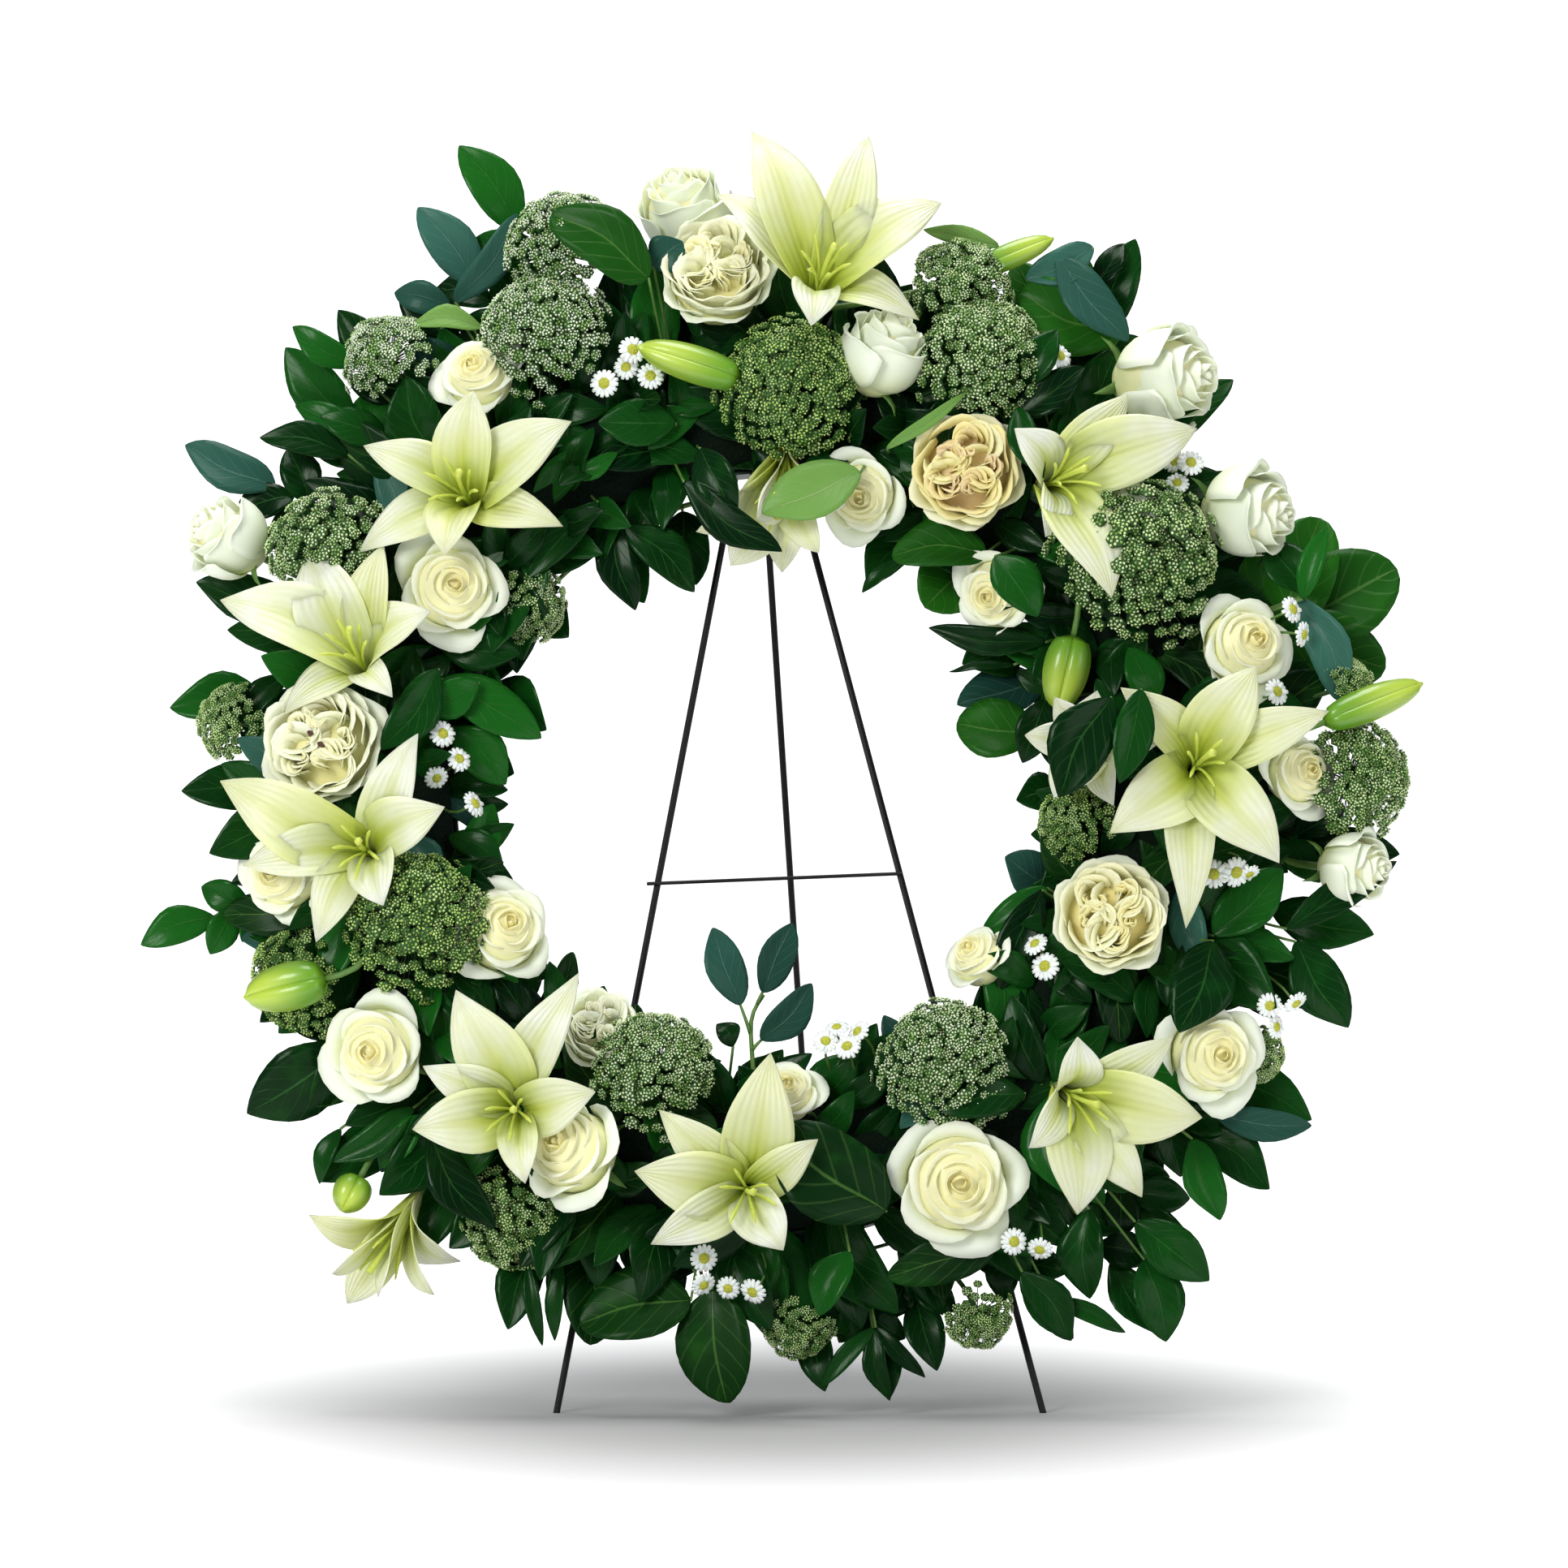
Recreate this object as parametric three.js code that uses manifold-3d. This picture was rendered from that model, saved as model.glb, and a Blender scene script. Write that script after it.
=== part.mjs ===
// A funeral wreath on a folding wire easel: lilies, roses, Ammi umbels, feverfew and leaves, all on
// stems pushed into a ring of wet foam. Millimetres, +Z up, the wreath faces -Y.
//
// Everything on the wreath is placed as on a clock face laid on the ring: an hour (12 is up), a reach
// from the ring's centre, and a lift above the ring's back. The wreath leans back with the easel.
import * as THREE from 'three';
import { mergeVertices } from 'three/addons/utils/BufferGeometryUtils.js';
import Module from 'manifold-3d';

const wasm = await Module();
wasm.setup();

// ---------------------------------------------------------------- driving dimensions
const GAP = 0.35;                 // clear space kept between touching pieces
const DEGREE = Math.PI / 180;
const LEAN = 10 * DEGREE;         // how far the wreath and the front legs lean back
const RING_HEIGHT = 418;          // ring centre above the floor

const FOAM_INNER = 216;
const FOAM_OUTER = 305;
const FOAM_BACK = 2.4;
const FOAM_SHOULDER = 27;
const FOAM_FRONT = 52;
const FOAM_STEPS = 32;
const TRAY_INNER = 213;
const TRAY_OUTER = 308;
const TRAY_WALL = 2;
const TRAY_RIM = 16;

const WIRE = 2.25;                // radius of the easel's leg wire
const WIRE_SIDES = 8;
const STEM_SIDES = 5;
const STEM_STEPS = 2;
const BAR_WIRE = 1.25;            // radius of the crossbar wire
const STAPLE_WIRE = 1;
const LEG_PLANE = -WIRE - GAP;    // lift of the front legs' centre lines
const LEFT_FOOT = -142;
const RIGHT_FOOT = 182;
const HINGE_LIFT = -8;            // the top bar is bent back this far, so that the rear leg's eye clears
const HINGE_RISE = 260;           // height of the top bar above the ring's centre, along the lean
const BAR_LEFT = -18;
const BAR_RIGHT = 8.5;
const EYE_ACROSS = -7;
const EYE_CLEARANCE = 0.6;
const REAR_SPREAD = 240;          // how far the rear foot stands behind the hinge
const REAR_FOOT = 37;
const CROSSBAR_LEFT = new THREE.Vector3(-83, -68, 0);
const CROSSBAR_RIGHT = new THREE.Vector3(89, -61, 0);

const STEM_DEPTH = 26;            // lift at which the stems end inside the foam
const STEM_RADII = { lily: 3.2, umbel: 2, rose: 2.8, feverfew: 1.4, bud: 2 };
const STEM_NEAREST = 236;         // and the band of reach that they end in
const STEM_FURTHEST = 284;
const PETAL_THICK = 2.4;
const LEAF_THICK = 2;

// ---------------------------------------------------------------- colours and finishes
const finish = (color, roughness, metalness = 0) =>
  new THREE.MeshStandardMaterial({ color, roughness, metalness, flatShading: true });
const FINISHES = {
  wire: () => finish('#151313', 0.4, 0.6),
  foam: () => finish('#2f5a3a', 0.95),
  tray: () => finish('#1f3a26', 0.5),
  lily: () => finish('#eef0d4', 0.45),
  rose: () => finish('#f1efd6', 0.6),
  umbel: () => finish('#cfe0b8', 0.8),
  feverfew: () => finish('#f4f3e6', 0.6),
  leaf: () => finish('#1f5a24', 0.3),
};

// ---------------------------------------------------------------- the arrangement
// [hour, reach, lift, outward lean, clockwise lean, tepals [bearing, length, rise of the tip]]
const LILIES = [
  [0.2, 333, 98, 25, 5, [[335, 112, -5], [18, 104, -8], [58, 95, 0], [116, 72, 5], [190, 42, 28], [310, 93, -12]]],
  [10.4, 275, 92, 15, 0, [[6, 65, 20], [296, 75, -5], [58, 85, 15], [112, 72, 18], [193, 50, 28], [240, 80, -4]]],
  [9.5, 284, 90, 20, 15, [[293, 100, -8], [13, 76, 5], [63, 56, 22], [143, 42, 28], [335, 80, -8], [230, 62, 0]]],
  [8.6, 275, 92, 10, 0, [[296, 106, -5], [262, 80, 0], [66, 60, 22], [26, 83, 15], [160, 45, 28], [205, 70, 8]]],
  [7.2, 286, 94, 10, 0, [[334, 86, 15], [26, 98, 18], [80, 55, 20], [170, 52, 24], [258, 67, 10], [295, 65, 12]]],
  [6.1, 285, 96, 10, 0, [[10, 90, 15], [56, 56, 20], [150, 48, 22], [240, 72, 8], [279, 74, 10], [312, 77, 12]]],
  [3, 284, 96, 5, 0, [[31, 72, 18], [69, 92, 10], [143, 86, 10], [185, 112, 5], [230, 78, 18], [312, 70, 20]]],
  [4.6, 299, 94, 25, 0, [[2, 36, 24], [59, 76, 5], [99, 85, -5], [146, 79, -8], [179, 78, 0], [220, 48, 22]]],
  [1.5, 273, 94, 15, 15, [[314, 42, 22], [39, 73, 5], [69, 99, -5], [193, 46, 24], [159, 92, 8], [116, 80, -5]]],
  [7.3, 390, 48, 62, -11, [[277, 59, 8], [232, 54, 22], [193, 50, 24], [152, 52, 10], [118, 46, -10], [215, 60, -16]]],
  [0.1, 200, 76, -50, 0, [[209, 40, 22], [158, 60, 12], [211, 72, -2], [236, 72, 8], [118, 46, 5], [182, 64, -12]]],
  [2.9, 214, 94, -30, 0, [[5, 36, 12], [278, 45, 8], [216, 44, 8], [162, 44, 12], [91, 43, 15], [322, 40, 10]]],
];
const TRUMPET = 33;               // from the throat back to where a lily meets its stem
const MOUTH = 13;                 // radius of the trumpet at the throat
const TEPAL_WIDTHS = [43, 33];    // inner and outer tepals take turns

// one row of buds for each lily that carries one: [lily, foot hour, reach, lift, tip hour, reach, lift, width]
const BUDS = [
  [0, 0.74, 372, 64, 0.92, 414, 62, 32],
  [8, 2.2, 222, 74, 2.6, 196, 66, 32],
  [6, 2.83, 372, 66, 2.73, 442, 52, 28],
  [3, 8.2, 322, 62, 8.18, 376, 48, 28],
];

// one list of heads for each stem: [hour, reach, lift, outward lean, clockwise lean, width]
const ROSES = [
  [[11.8, 341, 72, 20, 0, 80], [11.7, 398, 52, 45, 0, 50]],
  [[0.5, 296, 80, 25, 30, 70]],
  [[1.1, 241, 78, -5, 0, 77]],
  [[0.6, 199, 64, -25, 0, 62]],
  [[10, 246, 76, -8, 0, 77]],
  [[10.8, 333, 68, 25, 0, 62]],
  [[9.8, 398, 44, 60, 0, 68]],
  [[9.1, 297, 78, 12, 0, 83]],
  [[8.6, 331, 64, 25, 0, 66]],
  [[8, 208, 62, -45, 0, 70]],
  [[7.8, 320, 70, 20, 0, 76]],
  [[6.9, 287, 78, 5, 35, 78], [7.1, 208, 66, -20, 0, 54]],
  [[5.9, 218, 70, -25, 0, 50]],
  [[5.2, 303, 78, 10, 0, 92]],
  [[3.8, 247, 80, 0, 0, 76]],
  [[4.1, 349, 66, 20, 0, 74]],
  [[3, 353, 58, 30, 0, 58], [3.3, 394, 42, 58, 0, 60]],
  [[2.5, 328, 66, 25, 0, 72]],
  [[2, 372, 56, 48, 0, 70]],
  [[1.5, 386, 60, 35, 0, 82]],
];
const ROSE_DEPTH = 0.6;           // height of a rose over its width

const UMBELS = [
  [[11.3, 400, 72, 38, 0, 92], [11.1, 340, 92, 15, 0, 94]],
  [[10.6, 396, 62, 38, 0, 68]],
  [[9.9, 340, 80, 20, 0, 92]],
  [[0.1, 259, 100, 0, 0, 104]],
  [[0.7, 368, 74, 32, 0, 74], [0.9, 318, 92, 12, 0, 96]],
  [[2, 289, 102, 10, 0, 120]],
  [[3, 402, 54, 48, 0, 76], [2.7, 400, 52, 48, 0, 42]],
  [[8.2, 254, 100, -5, 0, 104], [8.2, 354, 62, 52, 0, 80]],
  [[6.7, 212, 92, -15, 0, 88]],
  [[5, 227, 98, -10, 0, 94]],
];

const FEVERFEW = [
  [[11.22, 283, 84, 5, 0, 20], [11.42, 302, 86, 12, 0, 20], [11.47, 277, 84, 0, 0, 19]],
];

// the leaf sprays' stems run round the ring's outer side or its inner side, close to the tray
const OUTER_REACH = 321;
const INNER_REACH = 202;
const SPRAY_LIFT = 8;

// rows of [hour, reach, lift] that lead a stem out of the foam and then round the ring
function roundTheRing(from, to, reach) {
  const steps = Math.ceil(Math.abs(to - from) / 0.4);
  const onward = Math.sign(to - from) * 0.04;
  const inFoam = reach === OUTER_REACH ? STEM_FURTHEST : STEM_NEAREST;
  const rows = [[from - 2 * onward, inFoam, STEM_DEPTH - 8], [from, (2 * reach + inFoam) / 3, SPRAY_LIFT + 8]];
  for (let i = 0; i <= steps; i++) {
    rows.push([from + ((to - from) * i) / steps + onward, reach, SPRAY_LIFT]);
  }
  return rows;
}

// each spray: its stem, and its leaves [foot hour, foot reach, tip hour, tip reach, tip lift, width]
const SPRAYS = [
  [roundTheRing(11.6, 10.3, OUTER_REACH), [
    [11.35, 321, 11.14, 488, 34, 34], [11.1, 321, 10.96, 464, 30, 32], [10.85, 321, 10.78, 424, 26, 30],
    [10.6, 321, 10.6, 440, 22, 30], [10.35, 321, 10.41, 446, 24, 34]]],
  [roundTheRing(10.2, 8.5, OUTER_REACH), [
    [10.1, 321, 10.01, 460, 24, 32], [9.75, 321, 9.65, 412, 22, 32], [9.35, 321, 9.24, 408, 22, 34],
    [8.95, 321, 8.97, 396, 24, 32], [8.55, 321, 8.51, 432, 22, 34]]],
  [roundTheRing(8.15, 6.7, OUTER_REACH), [
    [7.95, 321, 7.91, 414, 24, 36], [7.6, 321, 7.6, 404, 24, 34], [7.3, 321, 7.2, 396, 20, 34],
    [6.95, 321, 6.84, 408, 26, 30], [6.75, 321, 6.58, 398, 28, 46]]],
  [roundTheRing(6.5, 5.35, OUTER_REACH), [
    [6.3, 321, 6.12, 419, 30, 46], [5.85, 321, 5.83, 412, 26, 24], [5.65, 321, 5.64, 423, 26, 24],
    [5.45, 321, 5.48, 412, 28, 26]]],
  [roundTheRing(5.25, 4.1, OUTER_REACH), [
    [5.1, 321, 5.06, 426, 26, 26], [4.87, 321, 4.84, 454, 24, 28], [4.62, 321, 4.63, 440, 24, 30],
    [4.38, 321, 4.32, 432, 24, 32], [4.15, 321, 4.08, 428, 26, 32]]],
  [roundTheRing(3.9, 2.35, OUTER_REACH), [
    [3.7, 321, 3.69, 416, 24, 36], [3.45, 321, 3.48, 418, 24, 34], [3.2, 321, 3.22, 426, 22, 30],
    [2.45, 321, 2.37, 448, 30, 62]]],
  [roundTheRing(1.8, 0.6, OUTER_REACH), [
    [1.65, 321, 1.62, 420, 24, 30], [1.3, 321, 1.12, 450, 30, 34], [1.05, 321, 0.98, 424, 28, 38],
    [0.7, 321, 0.66, 408, 26, 34]]],
  [roundTheRing(11.9, 9.1, INNER_REACH), [
    [11.75, 202, 0.02, 160, 34, 26], [11.45, 202, 11.32, 143, 30, 34], [10.95, 202, 10.84, 149, 26, 34],
    [10.3, 202, 10.2, 168, 26, 28], [9.65, 202, 9.42, 154, 34, 34], [9.2, 202, 9.05, 172, 30, 30]]],
  [roundTheRing(0.9, 3.8, INNER_REACH), [
    [1.05, 202, 0.86, 150, 26, 30], [1.35, 202, 1.38, 158, 28, 46], [1.9, 202, 1.95, 152, 30, 36],
    [2.3, 202, 2.26, 136, 32, 38], [3.1, 202, 3.15, 166, 28, 32], [3.65, 202, 3.6, 166, 26, 32]]],
  [[[6.12, 240, 34], [6.1, 208, 52], [6.14, 168, 58], [6.05, 150, 60]], [
    [6.12, 170, 6.66, 112, 64, 26], [6.05, 152, 5.72, 103, 62, 24], [6.12, 178, 5.63, 146, 66, 24]]],
];

// ---------------------------------------------------------------- places and directions
const FRONT = new THREE.Vector3(0, 0, 1);

function clock(hour, reach, lift) {
  const angle = hour * 30 * DEGREE;
  return new THREE.Vector3(reach * Math.sin(angle), reach * Math.cos(angle), lift);
}

function facing(hour, outwardLean, clockwiseLean) {
  const outward = clock(hour, 1, 0);
  const clockwise = clock(hour + 3, 1, 0);
  return FRONT.clone().multiplyScalar(Math.cos(outwardLean * DEGREE))
    .addScaledVector(outward, Math.sin(outwardLean * DEGREE))
    .multiplyScalar(Math.cos(clockwiseLean * DEGREE))
    .addScaledVector(clockwise, Math.sin(clockwiseLean * DEGREE));
}

// the clock face's own axes, seen from the floor: across, up the lean, and off the ring's front
const ringToFloor = new THREE.Matrix4()
  .makeRotationX(Math.PI / 2 - LEAN)
  .setPosition(0, RING_HEIGHT * Math.tan(LEAN) + LEG_PLANE / Math.cos(LEAN), RING_HEIGHT);
const floorToRing = ringToFloor.clone().invert();

// ---------------------------------------------------------------- solids
function solidFrom(geometry) {
  const bare = geometry.index ? geometry.clone() : geometry;
  bare.deleteAttribute('normal');
  bare.deleteAttribute('uv');
  const merged = mergeVertices(bare, 1e-4);
  return new wasm.Manifold(new wasm.Mesh({
    numProp: 3,
    vertProperties: new Float32Array(merged.attributes.position.array),
    triVerts: new Uint32Array(merged.index.array),
  }));
}

function joined(solids) {
  return solids.reduce((whole, solid) => whole.add(solid));
}

// a round wire or stem along a curve
function rod(curve, radius, steps, sides, extra = 0) {
  const corners = [];
  for (let i = 0; i < sides; i++) {
    const angle = (i / sides) * 2 * Math.PI;
    corners.push(new THREE.Vector2(Math.cos(angle), Math.sin(angle)).multiplyScalar(radius + extra));
  }
  return solidFrom(new THREE.ExtrudeGeometry(new THREE.Shape(corners), {
    extrudePath: curve, steps, bevelEnabled: false,
  }));
}

// a turned head: a profile of [radius, height] rows, standing on its foot and looking along a direction
function turned(profile, around, foot, direction, extra = 0) {
  const points = profile.map(([radius, height]) => new THREE.Vector2(radius, height));
  const geometry = new THREE.LatheGeometry(points, around);
  geometry.computeBoundingBox();
  const { min, max } = geometry.boundingBox;
  const middle = (min.y + max.y) / 2;
  geometry.translate(0, -middle, 0);
  geometry.scale(1 + extra / max.x, 1 + (2 * extra) / (max.y - min.y), 1 + extra / max.x);
  geometry.translate(0, middle, 0);
  geometry.applyQuaternion(new THREE.Quaternion().setFromUnitVectors(new THREE.Vector3(0, 1, 0), direction));
  geometry.translate(foot.x, foot.y, foot.z);
  return solidFrom(geometry);
}

// a leaf or tepal: a box bent along a centre line, widest at its belly and folded along its midrib
function blade(line, up, width, thick, { belly, fold, across, along }, extra = 0) {
  const geometry = new THREE.BoxGeometry(2, 1, 2, across, along, 1);
  const position = geometry.attributes.position;
  const tip = 0.14;
  for (let i = 0; i < position.count; i++) {
    const t = position.getY(i) + 0.5;
    const sideways = position.getX(i);
    const tangent = line.getTangent(t);
    const side = tangent.clone().cross(up).normalize();
    const outer = side.clone().cross(tangent);
    const half = (width / 2) * (tip + (1 - tip) * Math.sin(Math.PI * t ** belly)) + extra;
    const point = line.getPoint(t)
      .addScaledVector(tangent, (2 * t - 1) * extra)
      .addScaledVector(side, sideways * half)
      .addScaledVector(outer, fold * Math.abs(sideways) * half + position.getZ(i) * (thick / 2 + extra));
    position.setXYZ(i, point.x, point.y, point.z);
  }
  return solidFrom(geometry);
}

// ---------------------------------------------------------------- stems
// where a stem ends in the foam below a place on the clock face
function anchor(place) {
  const reach = Math.hypot(place.x, place.y);
  const end = Math.min(Math.max(reach, STEM_NEAREST), STEM_FURTHEST);
  return new THREE.Vector3((place.x * end) / reach, (place.y * end) / reach, STEM_DEPTH);
}

function stem(from, direction, to, radius, extra) {
  const bend = from.clone().addScaledVector(direction, -0.4 * from.distanceTo(to));
  return rod(new THREE.QuadraticBezierCurve3(from, bend, to), radius, STEM_STEPS, STEM_SIDES, extra);
}

// one stem for a single head, or a trunk that forks to each of several heads
function branches(feet, radius, extra) {
  if (feet.length === 1) {
    return stem(feet[0].place, feet[0].direction, anchor(feet[0].place), radius, extra);
  }
  const middle = feet.reduce((sum, foot) => sum.add(foot.place), new THREE.Vector3())
    .divideScalar(feet.length);
  const root = anchor(middle);
  const fork = root.clone().lerp(middle, 0.6);
  const arms = feet.map((foot) => stem(foot.place, foot.direction, fork, radius * 0.8, extra));
  const trunk = rod(new THREE.LineCurve3(fork.clone().lerp(middle, 0.12), root), radius, 1, STEM_SIDES, extra);
  return joined([trunk, ...arms]);
}

// ---------------------------------------------------------------- flowers
const TEPAL = { belly: 1.5, fold: 0.28, across: 2, along: 3 };

function lilyHead([hour, reach, lift, outward, clockwise, tepals], extra) {
  const throat = clock(hour, reach, lift);
  const direction = facing(hour, outward, clockwise);
  const foot = throat.clone().addScaledVector(direction, -TRUMPET);
  const parts = [turned([[0, -2], [4.5, 0], [MOUTH, TRUMPET], [0, TRUMPET * 0.6]], 6, foot, direction, extra)];
  tepals.forEach(([bearing, length, rise], i) => {
    const tip = clock(bearing / 30, length, rise).add(throat);
    const spread = tip.clone().sub(throat);
    spread.addScaledVector(direction, -spread.dot(direction)).normalize();
    const root = throat.clone().addScaledVector(spread, MOUTH * 0.5).addScaledVector(direction, -10);
    const crown = throat.clone().lerp(tip, 0.45).addScaledVector(direction, length * 0.26);
    const line = new THREE.QuadraticBezierCurve3(root, crown, tip);
    parts.push(blade(line, direction, TEPAL_WIDTHS[i % 2], PETAL_THICK, TEPAL, extra));
  });
  return joined(parts);
}

function bud([, footHour, footReach, footLift, tipHour, tipReach, tipLift, width], extra) {
  const foot = clock(footHour, footReach, footLift);
  const tip = clock(tipHour, tipReach, tipLift);
  const length = foot.distanceTo(tip);
  const profile = [[0, 0], [0.22, 0.12], [0.5, 0.55], [0.42, 0.8], [0, 1]]
    .map(([radius, height]) => [radius * width, height * length]);
  return turned(profile, 8, foot, tip.clone().sub(foot).normalize(), extra);
}

function roseHead([hour, reach, lift, outward, clockwise, width], extra) {
  const direction = facing(hour, outward, clockwise);
  const height = width * ROSE_DEPTH;
  const foot = clock(hour, reach, lift).addScaledVector(direction, -height / 2);
  const profile = [[0, 0], [0.22, 0.05], [0.43, 0.36], [0.5, 0.72], [0.34, 0.96], [0, 1]]
    .map(([radius, rise]) => [radius * width, rise * height]);
  return turned(profile, 9, foot, direction, extra);
}

function umbelHead([hour, reach, lift, outward, clockwise, width], extra) {
  const direction = facing(hour, outward, clockwise);
  const foot = clock(hour, reach, lift).addScaledVector(direction, -0.3 * width);
  const profile = [[0, 0], [0.05, 0.02], [0.44, 0.2], [0.5, 0.27], [0.36, 0.36], [0, 0.42]]
    .map(([radius, rise]) => [radius * width, rise * width]);
  return turned(profile, 9, foot, direction, extra);
}

function daisyHead([hour, reach, lift, outward, clockwise, width], extra) {
  const direction = facing(hour, outward, clockwise);
  const profile = [[0, -3], [width / 2, -0.8], [width / 2, 0.8], [0, 3]];
  return turned(profile, 8, clock(hour, reach, lift), direction, extra);
}

// the foot of a head, where its stem starts: a little way inside it
function footOf([hour, reach, lift, outward, clockwise], depth) {
  const direction = facing(hour, outward, clockwise);
  return { place: clock(hour, reach, lift).addScaledVector(direction, -depth), direction };
}

// ---------------------------------------------------------------- leaves
const LEAF_ARCH = 6;
const SPRAY_STEM = 2.4;
const SPRAY_SIDES = 4;
const LEAF = { belly: 1.15, fold: 0.22, across: 2, along: 3 };

function sprayCurve([rows]) {
  return new THREE.CatmullRomCurve3(rows.map((row) => clock(...row)));
}

const spraySteps = ([rows]) => 2 * rows.length - 6;

function sprayStem(spray, extra) {
  return rod(sprayCurve(spray), SPRAY_STEM, spraySteps(spray), SPRAY_SIDES, extra);
}

// the point on the straight runs of a spray's stem that lies nearest to a place
function nearest(spray, place) {
  const joints = sprayCurve(spray).getSpacedPoints(spraySteps(spray));
  const finest = 10;
  let best = joints[0];
  for (let i = 1; i < joints.length; i++) {
    for (let k = 0; k <= finest; k++) {
      const point = joints[i - 1].clone().lerp(joints[i], k / finest);
      if (point.distanceTo(place) < best.distanceTo(place)) best = point;
    }
  }
  return best;
}

function sprayLeaves(spray, extra) {
  return joined(spray[1].map(([hour, reach, tipHour, tipReach, tipLift, width]) => {
    const tip = clock(tipHour, tipReach, tipLift);
    const foot = nearest(spray, clock(hour, reach, SPRAY_LIFT));
    foot.addScaledVector(tip.clone().sub(foot).normalize(), -SPRAY_STEM / 2);
    const bend = foot.clone().lerp(tip, 0.5).addScaledVector(FRONT, LEAF_ARCH);
    return blade(new THREE.QuadraticBezierCurve3(foot, bend, tip), FRONT, width, LEAF_THICK, LEAF, extra);
  }));
}

// ---------------------------------------------------------------- ring and tray
function ringSolid(profile, extra = 0) {
  const middle = (FOAM_INNER + FOAM_OUTER) / 2;
  const points = profile.map(([reach, lift]) => new THREE.Vector2(
    reach + Math.sign(reach - middle) * extra, lift + (lift > FOAM_BACK ? extra : 0)));
  points.push(points[0].clone());
  const geometry = new THREE.LatheGeometry(points, FOAM_STEPS);
  geometry.rotateX(Math.PI / 2);
  return solidFrom(geometry);
}

function foamSolid(extra) {
  return ringSolid([
    [FOAM_INNER, FOAM_BACK], [FOAM_OUTER, FOAM_BACK], [FOAM_OUTER, FOAM_SHOULDER],
    [FOAM_OUTER - 12, FOAM_FRONT - 7], [FOAM_OUTER - 30, FOAM_FRONT], [FOAM_INNER + 30, FOAM_FRONT],
    [FOAM_INNER + 12, FOAM_FRONT - 7], [FOAM_INNER, FOAM_SHOULDER],
  ], extra);
}

function traySolid() {
  return ringSolid([
    [TRAY_INNER, 0], [TRAY_OUTER, 0], [TRAY_OUTER, TRAY_RIM], [TRAY_OUTER - TRAY_WALL, TRAY_RIM],
    [TRAY_OUTER - TRAY_WALL, TRAY_WALL], [TRAY_INNER + TRAY_WALL, TRAY_WALL],
    [TRAY_INNER + TRAY_WALL, TRAY_RIM], [TRAY_INNER, TRAY_RIM],
  ]);
}

// ---------------------------------------------------------------- easel
// everything above the floor, as seen from the ring's tilted axes
function aboveFloor(solid) {
  const height = 3 * RING_HEIGHT;
  const slab = new THREE.BoxGeometry(height, height, height);
  slab.translate(0, 0, height / 2);
  slab.applyMatrix4(floorToRing);
  return solid.intersect(solidFrom(slab));
}

const FLOOR_RISE = -RING_HEIGHT / Math.cos(LEAN);

const BEND_LENGTH = 16;
const BEND_OVERLAP = 0.5;

// a straight leg whose top is bent back; the left one carries the short bar that the rear leg turns on
function frontLeg(footAcross, topAcross, barEnd) {
  const shoulder = new THREE.Vector3(topAcross, HINGE_RISE - BEND_LENGTH, LEG_PLANE);
  const slope = new THREE.Vector3(footAcross, FLOOR_RISE, LEG_PLANE).sub(shoulder).normalize();
  const foot = shoulder.clone().addScaledVector(slope, -FLOOR_RISE * 2);
  const top = new THREE.Vector3(topAcross, HINGE_RISE, HINGE_LIFT);
  const bend = new THREE.CubicBezierCurve3(
    shoulder.clone().addScaledVector(slope, BEND_OVERLAP),
    shoulder.clone().addScaledVector(slope, -BEND_LENGTH / 2),
    top.clone().add(new THREE.Vector3(0, -BEND_LENGTH / 2, 0)),
    top,
  );
  const leg = rod(new THREE.LineCurve3(foot, shoulder), WIRE, 1, WIRE_SIDES)
    .add(rod(bend, WIRE, 6, WIRE_SIDES));
  if (barEnd === undefined) return aboveFloor(leg);
  const bar = rod(new THREE.LineCurve3(top.clone().add(new THREE.Vector3(-WIRE, 0, 0)),
    new THREE.Vector3(barEnd, HINGE_RISE, HINGE_LIFT)), WIRE, 1, WIRE_SIDES);
  return aboveFloor(leg.add(bar));
}

function rearLeg() {
  const hinge = new THREE.Vector3(EYE_ACROSS, HINGE_RISE, HINGE_LIFT);
  const eyeRadius = WIRE + EYE_CLEARANCE + WIRE;
  const eye = new THREE.TorusGeometry(eyeRadius, WIRE, 8, 14);
  eye.rotateY(Math.PI / 2);
  eye.translate(hinge.x, hinge.y, hinge.z);
  const standing = hinge.clone().applyMatrix4(ringToFloor);
  const foot = new THREE.Vector3(REAR_FOOT, standing.y + REAR_SPREAD, 0).applyMatrix4(floorToRing);
  const down = foot.clone().sub(hinge).normalize();
  const top = hinge.clone().addScaledVector(down, eyeRadius);
  return aboveFloor(solidFrom(eye).add(rod(new THREE.LineCurve3(top, foot.addScaledVector(down, 20)),
    WIRE, 4, WIRE_SIDES)));
}

function crossbar() {
  const lift = new THREE.Vector3(0, 0, BAR_WIRE);
  return rod(new THREE.LineCurve3(CROSSBAR_LEFT.clone().add(lift), CROSSBAR_RIGHT.clone().add(lift)),
    BAR_WIRE, 2, 8);
}

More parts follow.
